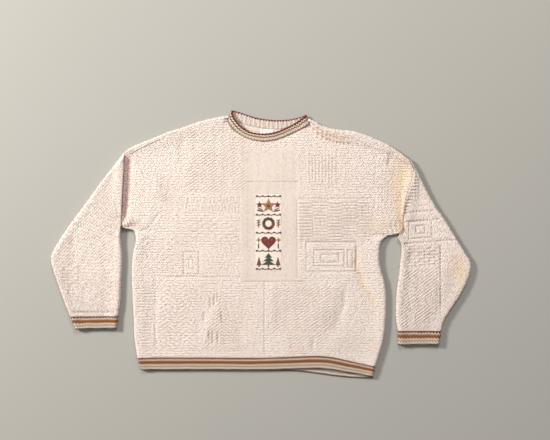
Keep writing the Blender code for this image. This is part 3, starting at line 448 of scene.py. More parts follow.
def side_folds(y):
    """How far each side edge is turned at this height, and the x where its turn begins: left, then right."""
    left_turn, right_turn = side_turn(y, LEFT_ARMPIT), side_turn(y, RIGHT_ARMPIT)
    return left_turn, left_edge(y) + roll(left_turn)[1], right_turn, right_edge(y) - roll(right_turn)[1]


def in_neck(x):
    """Whether x lies between the ends of the neck opening."""
    return (x >= NECK_LEFT - 1e-6) & (x <= NECK_RIGHT + 1e-6)


def from_line(x, y, x0, y0, x1, y1):
    """Share of the way along a line to its point nearest each x, y, and the distance to that point."""
    run, rise = x1 - x0, y1 - y0
    share = np.clip(((x - x0) * run + (y - y0) * rise) / (run**2 + rise**2 + 1e-9), 0.0, 1.0)
    return share, np.hypot(x - x0 - share * run, y - y0 - share * rise)


def sum_of_folds(table, x, y):
    """Height added by the folds of a table, each soft across and tapered to its ends."""
    total = np.zeros(np.broadcast(x, y).shape)
    for *line, half_width, height in table:
        share, away = from_line(x, y, *line)
        total += height * (0.55 + 0.45 * np.sin(math.pi * share)) * bell(away / half_width)
    return total


def fold_height(x, y):
    """Height added to laid cloth by its folds, creases and slow waves, with a limit to how deep it goes."""
    folds = sum_of_folds(FOLDS, x, y) + sizes().fold_depth * sum_of_folds(CREASES, x, y)
    return np.maximum(folds + slow_waves(x, y), DEEPEST_FOLD)


def slow_waves(x, y):
    """The unevenness of cloth smoothed out by hand."""
    slow = 0.35 * np.sin(x / 31 + 1.3 * np.sin(y / 47)) * np.cos(y / 37 + 0.9)
    return slow + 0.25 * np.sin(x / 17 - y / 23 + 0.4)


def body_height(x, y):
    """Height of the front's outer face: laid cloth, higher where an edge is folded, with its folds."""
    left_turn, left_start, right_turn, right_start = side_folds(y)
    puff = bell(np.maximum(x - left_start, 0) / EDGE_PUFF) * np.minimum(2 * left_turn, 1)
    puff = puff + bell(np.maximum(right_start - x, 0) / EDGE_PUFF) * np.minimum(2 * right_turn, 1)
    beside_neck = ease(np.maximum(NECK_LEFT - x, x - NECK_RIGHT) / 12)
    below_shoulder = np.maximum(shoulder_line(x) - EDGE_RADIUS - y, 0)
    puff = np.minimum(puff + bell(below_shoulder / EDGE_PUFF) * beside_neck, 1.0)
    laid = LAID + fold_height(x, y)
    return laid + (FOLDED_EDGE - laid) * puff


def across(cloth_x, y):
    """x of the body's points, how far a folding edge has sunk, side part of its normal, x along the knit."""
    left_turn, left_start, right_turn, right_start = side_folds(y)
    left_share = ease(1 - (cloth_x - CLOTH_LEFT - SIDE_ROLL) / EASE_WIDTH)
    right_share = ease(1 - (CLOTH_RIGHT - SIDE_ROLL - cloth_x) / EASE_WIDTH)
    x = cloth_x + left_share * (left_start - CLOTH_LEFT - SIDE_ROLL)
    x = x + right_share * (right_start - CLOTH_RIGHT + SIDE_ROLL)
    along, sunk, side_normal = x.copy(), np.zeros(x.shape), np.zeros(x.shape)
    for side, start, cloth_start, turn in (
        (-1, left_start, CLOTH_LEFT + SIDE_ROLL, left_turn),
        (1, right_start, CLOTH_RIGHT - SIDE_ROLL, right_turn),
    ):
        radius = roll(turn)[0]
        beyond = side * (cloth_x - cloth_start)
        angle = beyond / radius
        past, curved = beyond > 0, turn >= 0.02
        x = np.where(past, start + side * np.where(curved, radius * np.sin(angle), beyond), x)
        sunk = np.where(past & curved, radius * (1 - np.cos(angle)), sunk)
        side_normal = np.where(past & curved, side * np.sin(angle), side_normal)
        along = np.where(past, start + side * beyond, along)
    return x, sunk, side_normal, along


def eased_y(cloth_y, top, bottom):
    """y of a row of the cloth, spread between the straight middle and the panel's top or bottom edge."""
    above = EASE_ABOVE + (cloth_y - EASE_ABOVE) * (top - EASE_ABOVE) / (CLOTH_TOP - EASE_ABOVE)
    below = EASE_BELOW + (cloth_y - EASE_BELOW) * (bottom - EASE_BELOW) / (CLOTH_BOTTOM - EASE_BELOW)
    return np.where(cloth_y > EASE_ABOVE, above, np.where(cloth_y < EASE_BELOW, below, cloth_y))


def seam_clearance(curve, x):
    """The step in y that leaves SEAM_GAP square to a sloping seam."""
    return SEAM_GAP * np.hypot(1, (curve(x + 1) - curve(x - 1)) / 2)


def wide_x(cloth_x):
    """x on the shoulder line for a column of the cloth."""
    stretch_left = ease(1 - (cloth_x - CLOTH_LEFT) / EASE_WIDTH)
    stretch_right = ease(1 - (CLOTH_RIGHT - cloth_x) / EASE_WIDTH)
    x = cloth_x + stretch_left * (LEFT_ARMHOLE[0][0] - CLOTH_LEFT)
    return x + stretch_right * (RIGHT_ARMHOLE[0][0] - CLOTH_RIGHT)


def settled_y(cloth_x, cloth_y, top, hem_seam):
    """y of points of a panel whose lowest row follows the hem seam where it comes to lie."""
    y = cloth_y
    for _ in range(4):
        x = across(cloth_x, y)[0]
        y = eased_y(cloth_y, top, hem_seam(x) + seam_clearance(hem_seam, x))
    return y


def front_surface(cloth_x, cloth_y):
    """Points, outward normals and knit coordinates of the front's outer face, without its relief."""
    top_x = wide_x(cloth_x)
    at_neck = front_neck(top_x) - seam_clearance(front_neck, top_x)
    top = np.where(in_neck(top_x), at_neck, shoulder_line(top_x) - shoulder_overlap(top_x))
    y = settled_y(cloth_x, cloth_y, top, hem_front_seam)
    x, sunk, side, along = across(cloth_x, y)
    z = body_height(x, y) - sunk
    normal = np.stack((side, np.zeros(side.shape), np.sqrt(1 - side * side)), -1)
    return np.stack((x, y, z), -1), normal, np.stack((along, y), -1)


# Rows of cloth that turn over the shoulder fold, and rows that lie on the front
TURN_ROWS, LAP_ROWS = 12, 12


def back_surface(cloth_x, row, last_row):
    """The same for the back. Rows past last_row turn over the shoulder and lie on the front."""
    top_x = wide_x(cloth_x)
    start = shoulder_line(top_x) - EDGE_RADIUS
    beside = np.minimum(top_x - NECK_LEFT, NECK_RIGHT - top_x)
    neck_seam = back_neck(top_x) - seam_clearance(back_neck, top_x)
    at_neck = start + (neck_seam - start) * np.clip(beside / 2, 0, 1)
    start = np.where(in_neck(top_x), at_neck, start)
    cloth_y = CLOTH_BOTTOM + (CLOTH_TOP - CLOTH_BOTTOM) * np.minimum(row, last_row) / last_row
    y = settled_y(cloth_x, cloth_y, start, hem_back_seam)
    x, sunk, side, along = across(cloth_x, y)
    over = np.clip(row - last_row, 0, TURN_ROWS + LAP_ROWS)
    angle = np.minimum(over / TURN_ROWS, 1.0) * math.pi
    length = shoulder_overlap(top_x) - EDGE_RADIUS - SEAM_GAP
    lap = np.clip((over - TURN_ROWS) / LAP_ROWS, 0, 1)
    turned_y = y + EDGE_RADIUS * np.sin(angle) - length * lap
    turned = over > 0
    turned_x = across(cloth_x, turned_y)[0]
    turned_z = np.where(lap > 0, body_height(turned_x, turned_y), EDGE_RADIUS * (1 - np.cos(angle)))
    near_left = np.clip(1 - (NECK_LEFT - top_x) / CORNER_REACH, 0, 1) * (top_x <= NECK_LEFT + 1e-6)
    near_right = np.clip(1 - (top_x - NECK_RIGHT) / CORNER_REACH, 0, 1) * (top_x >= NECK_RIGHT - 1e-6)
    raised = np.clip(turned_z / FOLDED_EDGE, 0, 1)
    turned_x = turned_x + CORNER_SHIFT * (near_left - near_right) * raised
    turned_z = turned_z - CORNER_DROP * (near_left + near_right) ** 2 * raised
    on_turn_or_lap = np.stack((turned_x, turned_y, turned_z), -1)
    place = np.where(turned[..., None], on_turn_or_lap, np.stack((x, y, sunk), -1))
    flat_normal = np.stack((side, np.zeros(side.shape), -np.sqrt(1 - side * side)), -1)
    turn_normal = np.stack((np.zeros(side.shape), np.sin(angle), -np.cos(angle)), -1)
    normal = np.where(turned[..., None], turn_normal, flat_normal)
    return place, normal, np.stack((along, y + EDGE_RADIUS * angle + length * lap), -1)


# Relief of the knit


def seeded_noise(x, y, size, seed):
    """Smooth noise from -1 to 1 with features of this size, the same on every run."""
    grid = np.random.default_rng(seed).uniform(-1, 1, (256, 256))
    u, v = x / size + 400, y / size + 400
    i, j = np.floor(u).astype(int), np.floor(v).astype(int)
    a, b = ease(u - i), ease(v - j)

    def corner(di, dj):
        return grid[(i + di) % 256, (j + dj) % 256]

    low = corner(0, 0) * (1 - a) + corner(1, 0) * a
    return low * (1 - b) + (corner(0, 1) * (1 - a) + corner(1, 1) * a) * b


def block_ribs(kind, x, y, box, columns, pitch):
    """Ribs of one block from 0 to 1, faded out at its border."""
    x0, x1, y0, y1 = box
    right, up = x - x0, y - y0
    from_edge = np.minimum(np.minimum(right, x1 - x), np.minimum(up, y1 - y))
    fade = np.clip(from_edge / BLOCK_FADE, 0, 1)
    if kind == "bars":
        width = (x1 - x0) / columns
        column = np.clip(np.floor(right / width), 0, columns - 1)
        inset = np.minimum(right - column * width, (column + 1) * width - right) / COLUMN_INSET
        return wave(up / pitch + 0.5 * (column % 2)) * np.clip(inset, 0, 1)
    if kind == "uprights":
        tall = (y1 - y0) / columns
        row = np.clip(np.floor(up / tall), 0, columns - 1)
        inset = np.minimum(up - row * tall, (row + 1) * tall - up) / COLUMN_INSET
        return wave(right / pitch + 0.5 * (row % 2)) * np.clip(inset, 0, 1)
    if kind == "frame":
        beads = 0.6 + 0.4 * wave((x + y) / pitch)
        return np.sin(math.pi * np.clip(from_edge / FRAME_WIDTH, 0, 1)) * beads
    if kind == "slant":
        return wave(up / pitch - right / (1.5 * pitch)) * fade
    if kind == "seed":
        return (0.5 + 0.5 * np.sin(2 * math.pi * right / pitch) * np.sin(2 * math.pi * up / pitch)) * fade
    if kind == "ticks":
        broken = wave(right / (3 * pitch) + 0.5 * np.floor(up / pitch)) > 0.3
        return wave(up / pitch) * broken * fade
    if kind == "zigzag":
        swing = 14 * np.abs(2 * np.mod(right / 42, 1) - 1)
        return wave((up + swing) / (1.4 * pitch)) ** 2 * fade
    if kind == "tree":
        reach = (0.15 + 0.85 * (1 - up / (y1 - y0))) * (x1 - x0) / 2
        away = np.abs(x - (x0 + x1) / 2)
        return wave((up + 0.75 * away) / pitch) * np.clip((reach - away) / 6, 0, 1) * fade
    beads = 0.35 + 0.65 * wave((y if kind == "line" else x) / pitch)
    across_line = right / (x1 - x0) if kind == "line" else up / (y1 - y0)
    return np.sin(math.pi * np.clip(across_line, 0, 1)) * beads


def seed_share(x, y):
    """Share of seed stitch in the ground: little in the plain panels up the middle of the chest."""
    plain = ease(np.minimum(x + 44, 80 - x) / 10 + 0.5) * ease(np.minimum(y + 84, 212 - y) / 10 + 0.5)
    return 1 - 0.72 * plain


def hollows(relief, reach=2):
    """How far each point of a grid lies below those round it, from 0 to 1, for painted shade in the dips."""
    padded = np.pad(relief, reach, mode="edge")
    rows, cols = relief.shape
    shifts = range(2 * reach + 1)
    around = sum(padded[r : r + rows, c : c + cols] for r in shifts for c in shifts) / len(shifts) ** 2
    return np.clip((around - relief) / DIP_DEPTH, 0, 1)


def shade_tint_and_seed_fields(relief, place, seed, warm_shade=1.0):
    """Per-point fields of a panel: painted shade in the dips and along seams and creases, yellow tint,
    painted warm shade, seed stitch. None reaches the inside.
    """
    x, y, none = place[..., 0], place[..., 1], np.zeros(relief.shape)
    yellow_tint = np.clip(sum_of_folds(YELLOW_TINTED, x, y), 0, 1)
    warm_shaded = warm_shade * np.clip(sum_of_folds(PAINTED_WARM_SHADE, x, y), 0, 1)
    shaded = np.clip(hollows(relief) + sum_of_folds(SHADED, x, y), 0, 1)
    return {"dip_shade": (shaded, none), "yellow_tint": (yellow_tint, none), "warm_shade": (warm_shaded, none), "seed": (seed, none)}


def block_height(x, y, kind, x0, x1, y0, y1, height, columns=1, pitch=BLOCK_PITCH):
    """Relief of one knitted block, 0 outside it."""
    inside = (x >= x0) & (x <= x1) & (y >= y0) & (y <= y1)
    return np.where(inside, height * block_ribs(kind, x, y, (x0, x1, y0, y1), columns, pitch), 0)


def knit_relief(blocks, x, y):
    """Height of the knitted blocks, uneven as hand-fed knitting is, with the plain ground's slight ripple."""
    grain = np.sin(2 * math.pi * x / BLOCK_PITCH) * np.sin(2 * math.pi * y / BLOCK_PITCH)
    total = 0.16 * grain * seed_share(x, y) + 0.16 * seeded_noise(x, y, 5.0, 7)
    evenness = 0.8 + 0.35 * seeded_noise(x, y, 22, 5)
    for block in blocks:
        total = total + block_height(x, y, *block) * evenness
    return total * sizes().block_relief


# Meshes


# Millimetres of knit to one unit of a UV map
UV_SCALE = 100.0


def link_new(name, data):
    """A new object with this data, linked to the scene."""
    obj = bpy.data.objects.new(name, data)
    bpy.context.scene.collection.objects.link(obj)
    return obj


def add_mesh(name, points, faces, knit, corner_fields):
    """A mesh object linked to the scene, with knit coordinates as its UV map and fields stored per corner."""
    data = bpy.data.meshes.new(name)
    data.from_pydata((points * MM).tolist(), [], faces)
    layer = data.uv_layers.new(name="knit")
    layer.data.foreach_set("uv", (knit / UV_SCALE).astype(np.float32).ravel())
    for field, values in corner_fields.items():
        attribute = data.attributes.new(field, "FLOAT", "CORNER")
        attribute.data.foreach_set("value", values.astype(np.float32))
    data.shade_smooth()
    data.update()
    return link_new(name, data)


def signed_volume(points, faces):
    """Six times the volume inside a closed mesh of polygons, negative if it is inside out."""
    total = 0.0
    for size in {len(face) for face in faces}:
        corners = points[np.array([face for face in faces if len(face) == size])]
        for k in range(1, size - 1):
            total += np.einsum("ij,ij->", corners[:, 0], np.cross(corners[:, k], corners[:, k + 1]))
    return total


def border_edges(keep, closed):
    """Each side of a kept cell with no kept neighbour, as row and column of its two ends."""
    sides = []
    rows, cols = keep.shape
    for r, c in zip(*np.nonzero(keep)):
        left = keep[r, c - 1] if c > 0 or closed else False
        right = keep[r, (c + 1) % cols] if c + 1 < cols or closed else False
        if r == 0 or not keep[r - 1, c]:
            sides.append((r, c, r, c + 1))
        if not right:
            sides.append((r, c + 1, r + 1, c + 1))
        if r + 1 == rows or not keep[r + 1, c]:
            sides.append((r + 1, c + 1, r + 1, c))
        if not left:
            sides.append((r + 1, c, r, c))
    return sides


def shell(name, outer, inner, knit, step=1, closed=False, keep=None, fields=None):
    """A closed thin wall from two grids of points: fine skin, lining of every step-th point, and rim.

    A closed grid's last column repeats its first. Fields are (outer, inner) pairs of grids, kept per corner.
    """
    rows, cols = outer.shape[:2]
    if keep is None:
        keep = np.ones(((rows - 1) // step, (cols - 1) // step), bool)

    def key(r, c):
        return r * cols + c

    r, c = np.nonzero(np.kron(keep, np.ones((step, step), bool)))
    skin = np.stack((key(r, c), key(r, c + 1), key(r + 1, c + 1), key(r + 1, c)), -1)
    r, c = (v * step for v in np.nonzero(keep))
    r1, c1 = r + step, c + step
    lining = np.stack((key(r, c), key(r1, c), key(r1, c1), key(r, c1)), -1) + rows * cols
    rim = []
    for r0, c0, r1, c1 in border_edges(keep, closed):
        line = [key(r0 * step + (r1 - r0) * k, c0 * step + (c1 - c0) * k) for k in range(step, -1, -1)]
        rim.append(line + [line[-1] + rows * cols, line[0] + rows * cols])
    corners = np.concatenate([skin.ravel(), lining.ravel(), np.array(rim, int).ravel()])
    squares = skin.size + lining.size

    def by_face(values, order=1):
        """One value for each corner, as a row for each face: first the squares, then the rim's."""
        return values[:squares].reshape(-1, 4)[:, ::order], values[squares:].reshape(-1, step + 3)[:, ::order]

    points = np.concatenate([outer.reshape(-1, 3), inner.reshape(-1, 3)])
    points[:, 2] = np.maximum(points[:, 2], 0.0)
    vertex = np.arange(2 * rows * cols)
    if closed:
        vertex = np.where(vertex % cols == cols - 1, vertex - cols + 1, vertex)
    used, index = np.unique(vertex[corners], return_inverse=True)
    faces = [face for group in by_face(index) for face in group.tolist()]
    placed = points[used] + CENTRED
    if signed_volume(placed, faces) < 0:
        faces = [face[::-1] for face in faces]
        corners = np.concatenate([group.ravel() for group in by_face(corners, -1)])
    knit_all = np.tile(knit.reshape(-1, 2), (2, 1))
    pairs = (fields or {}).items()
    stored = {field: np.concatenate([grid.ravel() for grid in pair])[corners] for field, pair in pairs}
    return add_mesh(name, placed, faces, knit_all[corners], stored)


def settle(obj, slot, material, *nodes):
    """Lets a piece stand for its solids, ride on the body and take its finish."""
    obj.data.materials.append(material)
    if nodes:
        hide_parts(*nodes)
    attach(obj, "root")
    return obj


def grid_lines(marks, counts):
    """Positions through the marks, with so many equal steps in each stretch."""
    lines = [np.linspace(a, b, n, endpoint=False) for a, b, n in zip(marks, marks[1:], counts)]
    return np.append(np.concatenate(lines), marks[-1])


# Columns and rows of the front's outer face, and how many of them one cell of its lining spans
FRONT_COLUMNS, FRONT_ROWS, FRONT_STEP = 312, 288, 6


def from_side(cloth_x):
    """Distance along the cloth to the nearer side edge."""
    return np.minimum(cloth_x - CLOTH_LEFT, CLOTH_RIGHT - cloth_x)


def make_front():
    """The front panel, with its knitted blocks and its side edges folded round."""
    columns = np.linspace(CLOTH_LEFT, CLOTH_RIGHT, FRONT_COLUMNS + 1)
    cloth_x, cloth_y = np.meshgrid(columns, np.linspace(CLOTH_BOTTOM, CLOTH_TOP, FRONT_ROWS + 1))
    place, normal, knit = front_surface(cloth_x, cloth_y)
    x, y = knit[..., 0], knit[..., 1]
    relief = knit_relief(FRONT_BLOCKS, x, y) + seam_puckers(place[..., 0], place[..., 1], -2.5)
    edge = np.minimum(from_side(cloth_x) / 3, 1)
    relief = relief * edge + edge_bumps(y) * (1 - edge)
    outer = place + normal * relief[..., None]
    fields = shade_tint_and_seed_fields(relief, place, seed_share(x, y))
    return shell("front_knit", outer, place - normal * WALL, knit, FRONT_STEP, fields=fields)


def edge_bumps(along):
    """Stitches that stand out round a folded edge."""
    return 0.28 + 0.3 * np.sin(2 * math.pi * along / 7.2) + 0.2 * np.sin(2 * math.pi * along / 17.3 + 1)


def seam_puckers(x, y, below):
    """Small dents where the sewing pulls the knit in, beside the shoulder seams and along the armholes."""
    shoulder = shoulder_line(x) - shoulder_overlap(x) + below
    outside_neck = np.where(in_neck(x), 0.0, 1.0)
    gathered = wave(x / 8.7 + 0.3 * np.sin(x / 13))
    strength = np.where(x > 0, 2.2 * (1 - 0.75 * ease((x - 180) / 30)), 0.3)
    dents = -strength * gathered * bell((y - shoulder) / 3.6) * outside_neck
    left = x - left_seam(y)
    right = right_seam(y) - x
    near = bell(left / 6) * (y > LEFT_ARMPIT) + bell(right / 6) * (y > RIGHT_ARMPIT)
    return dents - 0.7 * near * wave(y / 7.6)


# The same for the back: columns left of the neck, in it and right of it, then rows and step
BACK_COUNTS, BACK_ROWS, BACK_STEP = (96, 72, 72), 180, 3


def make_back():
    """The back panel, whose shoulders turn over and lie on the front."""
    columns = grid_lines((CLOTH_LEFT, NECK_LEFT, NECK_RIGHT, CLOTH_RIGHT), BACK_COUNTS)
    rows = np.arange(BACK_ROWS + TURN_ROWS + LAP_ROWS + 1)
    cloth_x, row = np.meshgrid(columns, rows)
    place, normal, knit = back_surface(cloth_x, row, BACK_ROWS)
    x, y = knit[..., 0], knit[..., 1]
    under = np.where(row <= BACK_ROWS, 1.0, 0.0)
    on_front = ease(3 * np.clip((row - BACK_ROWS - TURN_ROWS) / LAP_ROWS, 0, 1))
    pressed = sum_of_folds(BACK_FOLDS, x, y) * ease(from_side(cloth_x) / 20 - 0.4)
    relief = under * (knit_relief(BACK_BLOCKS, x, y) - 1.0 - pressed) * ease((BACK_ROWS - row) / 8)
    plan = place[..., 0], place[..., 1]
    over_front = seam_puckers(*plan, 7.5) + knit_relief((), *plan)
    relief = relief + over_front * on_front + (1 - under) * (1 - on_front) * edge_bumps(x)
    relief = relief * np.minimum(from_side(cloth_x) / 8, 1)
    outer = place + normal * relief[..., None]
    lining = place - normal * (WALL + np.minimum(pressed * under, 1.2))[..., None]
    neck = (columns[:-1:BACK_STEP] >= NECK_LEFT - 1e-6) & (columns[:-1:BACK_STEP] < NECK_RIGHT - 1e-6)
    keep = ~(neck[None, :] & (rows[:-1:BACK_STEP, None] >= BACK_ROWS))
    fields = shade_tint_and_seed_fields(relief, place, np.ones(x.shape))
    return shell("back_knit", outer, lining, knit, BACK_STEP, keep=keep, fields=fields)


def flattened_ring(upper_count, lower_count, turn_count):
    """Share across and angle of the stations round a flattened tube. The first, below, is repeated last."""
    upper, lower = (np.linspace(0, 1, count + 1) for count in (upper_count, lower_count))
    turn = np.linspace(-math.pi / 2, math.pi / 2, turn_count + 1)[1:-1]
    shares = [lower, np.ones(len(turn)), upper[::-1], np.zeros(len(turn)), lower[:1]]
    angles = [np.full(len(lower), -math.pi / 2), turn, np.full(len(upper), math.pi / 2), math.pi - turn[::-1]]
    angles.append(np.array([-math.pi / 2]))
    return np.concatenate(shares), np.concatenate(angles)


def on_turn(angle):
    """Whether a station is on a folded edge and not on a face."""
    return np.abs(np.cos(angle)) > 1e-6


def flat_tube(ends, share, angle, laid, folds):
    """Points and normals on sections of a flattened tube between two points in plan, folded at both."""
    start, stop = ends[:, None, :2], ends[:, None, 2:]
    length = np.linalg.norm(stop - start, axis=-1)
    along = (stop - start) / length[..., None]
    turned = on_turn(angle)
    side = np.where(turned, np.cos(angle), 0.0)
    run = EDGE_RADIUS + share * (length - 2 * EDGE_RADIUS)
    plan = start + along * (run + EDGE_RADIUS * side)[..., None]
    low = laid + (fold_height(plan[..., 0], plan[..., 1]) if folds else 0.0)
    near = np.minimum(run - EDGE_RADIUS, length - EDGE_RADIUS - run)
    top = low + (FOLDED_EDGE - low) * bell(near / (EDGE_PUFF * 0.6))
    height = np.where(turned, EDGE_RADIUS * (1 + np.sin(angle)), np.where(angle > 0, top, 0.0))
    shape = height.shape
    upward = np.broadcast_to(np.where(turned, np.sin(angle), np.sign(angle)), shape)
    sideways = np.broadcast_to(side, shape)
    normal = np.stack((along[..., 0] * sideways, along[..., 1] * sideways, upward), -1)
    return np.concatenate([plan, height[..., None]], -1), normal, length


# Steps across a sleeve's upper face, across its lower face and round each turn
SLEEVE_COUNTS, SLEEVE_STEP = (116, 56, 8), 4


def sleeve_knit(place, angle, flat_run, far):
    """Knit coordinates of a sleeve: round it from the middle of its upper face, and down each column."""
    inner_side = angle <= math.pi / 2
    arc = EDGE_RADIUS * (math.pi / 2 - np.where(inner_side, angle, math.pi - angle))
    on_face = np.where(angle > 0, flat_run, -EDGE_RADIUS * math.pi - flat_run)
    u = np.where(on_turn(angle), np.where(inner_side, far + arc, -arc), on_face)
    steps = np.linalg.norm(np.diff(place[..., :2], axis=0), axis=-1)
    v = -np.concatenate([np.zeros((1, steps.shape[1])), np.cumsum(steps, axis=0)])
    return np.stack((u - far / 2, v), -1)


def make_sleeve(name, table, blocks, rows, lip, grain, bow=0.0, slope=0.0):
    """A flattened tube whose cap rolls over the armhole seam.

    lip is the height of that roll, grain the share of seed stitch, bow the share of the armhole's bow that it
    follows, and slope how much its courses rise to the right.
    """
    curves = [smooth_curve([(at, row[column]) for at, row in enumerate(table)]) for column in range(4)]
    at = np.linspace(0, len(table) - 1, rows + 1)
    ends = np.stack([curve(at) for curve in curves], -1)
    share, angle = flattened_ring(*SLEEVE_COUNTS)
    place, normal, length = flat_tube(ends, share, angle, TUBE_LAID, True)
    middle = (ends[:, :2] + ends[:, 2:]) / 2
    down = np.append(0, np.cumsum(np.linalg.norm(np.diff(middle, axis=0), axis=1)))
    far = length - 2 * EDGE_RADIUS
    flat_run = share * far
    bowed = bow * armhole_bow((EDGE_RADIUS + flat_run) / length)
    place[..., 0] += bowed * ease(1 - down / BOW_REACH)[:, None]
    knit = sleeve_knit(place, angle, flat_run, far)
    x, y = place[..., 0], place[..., 1]
    turned, upper = on_turn(angle), angle > 0
    face = np.where(turned, 0.0, 1.0)
    ribs = knit_relief(blocks, x, y - slope * (x - COURSE_START))
    near_seam = ease(np.minimum(down, down[-1] - down) / 6)[:, None]
    top_relief = ribs + armhole_gathers(down[:, None], x, y)
    under_relief = ribs * 0.6 - 0.9 - sum_of_folds(BACK_FOLDS, x, y)
    from_fold = np.minimum(flat_run, far - flat_run)
    fade = ease(from_fold / 10)
    fade = np.where(upper, ease(fade * 2), fade)
    relief = np.where(upper, top_relief, under_relief) * face * near_seam * fade
    relief = relief + np.where(turned, edge_bumps(down[:, None]), 0.0) * near_seam
    # Sleeves take a quarter of the painted warm shade
    fields = shade_tint_and_seed_fields(relief, place, np.full(x.shape, grain), 0.25)
    above_armpit = np.where(x < 0, ease((y - LEFT_ARMPIT - 8) / 26), 1.0)
    rolled = lip * ease(1 - down / LIP_REACH)[:, None] * ease(from_fold / 9) * above_armpit
    outer = place + normal * (relief + np.where(upper, rolled, 0.0) * face)[..., None]
    return shell(name, outer, place - normal * WALL, knit, SLEEVE_STEP, closed=True, fields=fields)


def armhole_gathers(down, x, y):
    """Short gathers across a sleeve just below its armhole seam, strongest at the right one's middle."""
    right = 2.8 * bell((down - 16) / 9) * ease((y - 60) / 14) * ease((168 - y) / 14)
    left = 0.6 * bell((down - 10) / 7)
    return -np.where(x > 0, right, left) * wave(y / 7.3)


def ring_between(seam, edge, share, angle, v, laid):
    """Points and normals on a band; its seam and free edge are each left x, right x, front and back curve."""
    turned = on_turn(angle)
    upward = (1 + np.sin(angle)) / 2

    def on_loop(loop):
        left, right, front, back = loop
        run = EDGE_RADIUS + share * (right - left - 2 * EDGE_RADIUS)
        x = left + run + np.where(turned, EDGE_RADIUS * np.cos(angle), 0)
        y = back(x) + (front(x) - back(x)) * ease(2 * upward - 0.9)
        near = np.minimum(x - left, right - x) - EDGE_RADIUS
        over = laid + (FOLDED_EDGE - laid) * bell(near / EDGE_RADIUS / 2)
        return np.stack((x, y, np.where(~turned & (angle > 0), over, 2 * EDGE_RADIUS * upward)), -1)

    low, high = on_loop(seam), on_loop(edge)
    place = low[None] * (1 - v[:, None, None]) + high[None] * v[:, None, None]
    normal = np.stack((np.where(turned, np.cos(angle), 0), np.zeros(share.shape), np.sin(angle)), -1)
    return place, np.broadcast_to(normal[None], place.shape)


# How far the last row of stitches swings a band's free edge in and out
SCALLOP = 1.1


def band_shell(name, place, normal, v, angle, height, inside_ribs=0.0, pitch=5.6):
    """A striped band: purl ridges outside, and a stripe coordinate from the seam over the edge and back."""
    gaps = np.linalg.norm(np.diff(place[len(v) // 2], axis=0), axis=1)
    along = np.append(0, np.cumsum(gaps))
    down = v[:, None]
    ridge = np.interp(v, *zip(*BAND_RIDGES))[:, None]
    bumps = 0.42 * np.sin(2 * math.pi * (along / pitch + 0.5 * (np.floor(down * 9) % 2)))
    lower = angle[None] < -math.pi / 2 + 0.3
    relief = np.where(lower, -0.45 - bumps * 0.6, 0.85 * ridge + bumps)
    relief = relief * ease(np.minimum(down, 1.12 - down) / 0.12)
    outer = place + normal * relief[..., None]
    outer[..., 1] += SCALLOP * np.sin(2 * math.pi * along / pitch) * ease((down - 0.85) / 0.15)
    depth = np.full(relief.shape, WALL) + inside_ribs
    stripes = [np.broadcast_to(at, relief.shape) for at in (down / 2, 1 - down / 2)]
    knit = np.stack(np.broadcast_arrays(along[None], down * height), -1)
    inner = place - normal * depth[..., None]
    return shell(name, outer, inner, knit, closed=True, fields={"stripe": stripes})


# Rows of a band, then steps across each face and round each turn
CUFF_ROWS, CUFF_COUNTS = 18, (90, 90, 12)
HEM_ROWS, HEM_COUNTS = 16, (540, 540, 12)
COLLAR_ROWS, COLLAR_COUNTS = 16, (200, 200, 14)


def make_cuff(name, seam, edge, height):
    """A cuff between its seam line and its free edge."""
    v = np.linspace(0, 1, CUFF_ROWS + 1)
    ends = np.array(seam)[None] * (1 - v[:, None]) + np.array(edge)[None] * v[:, None]
    share, angle = flattened_ring(*CUFF_COUNTS)
    place, normal, _ = flat_tube(ends, share, angle, TUBE_LAID, False)
    return band_shell(name, place, normal, v, angle, height)


def make_hem(name):
    """The hem band, a little thinner towards its free edge."""
    seam = (*HEM_SEAM_ENDS, hem_front_seam, hem_back_seam)
    edge = (*HEM_EDGE_ENDS, hem_front_edge, hem_back_edge)
    v = np.linspace(0, 1, HEM_ROWS + 1)
    share, angle = flattened_ring(*HEM_COUNTS)
    place, normal = ring_between(seam, edge, share, angle, v, LAID)
    place[..., 2] -= 1.9 * v[:, None] * ease((place[..., 2] - 4) / 3)
    return band_shell(name, place, normal, v, angle, 27.0)


def make_collar(name):
    """The collar, whose inside shows its ribs at the back of the neck."""
    seam = (NECK_LEFT, NECK_RIGHT, front_neck, back_neck)
    ends = (COLLAR_FRONT_EDGE[0][0], COLLAR_FRONT_EDGE[-1][0])
    edge = (*ends, smooth_curve(COLLAR_FRONT_EDGE), smooth_curve(COLLAR_BACK_EDGE))
    v = np.linspace(0, 1, COLLAR_ROWS + 1)
    share, angle = flattened_ring(*COLLAR_COUNTS)
    place, normal = ring_between(seam, edge, share, angle, v, COLLAR_LAID)
    ribs = wave(place[..., 0] / 10.0) * np.where(angle < 0, 1.0, 0.4)
    ribs = ribs * ease(np.minimum(v, 1 - v) / 0.12)[:, None]
    return band_shell(name, place, normal, v, angle, 20.0, 1.3 * ribs - 0.4, 8.8)


def make_label(name):
    """A woven label, slightly lifted at its lower corners, sewn in at its top."""
    centre_x, top_y, width, drop, thickness = LABEL
    u, v = np.meshgrid(np.linspace(-0.5, 0.5, 41), np.linspace(-1, 0, 25))
    base = WALL + SEAM_GAP + 0.5 * ease(-v * 1.6 - 0.6) * (0.4 + 0.6 * np.abs(2 * u))
    x, y = centre_x + width * u, top_y + drop * v
    weave = 0.05 * np.sin(2 * math.pi * x / 1.6)
    outer = np.stack((x, y, base + thickness * 0.85 + weave), -1)
    return shell(name, outer, np.stack((x, y, base), -1), np.stack((x, y), -1))


# Embroidery: each motif is a list of filled shapes on the front

# The strip: left x, right x, lower y, upper y, and the x of its middle
STRIP, STRIP_MIDDLE = (-12.0, 45.4, -58.0, 111.5), 16.6
# How high the motifs stand over the worked ground, and the ground over the front
MOTIF_RAISE, GROUND_RAISE = 0.95, 0.32
# Yarns of the strip, in the order of the thread numbers stored on its mesh
THREADS = ("ground", "maroon", "forest", "tan", "brick", "olive")


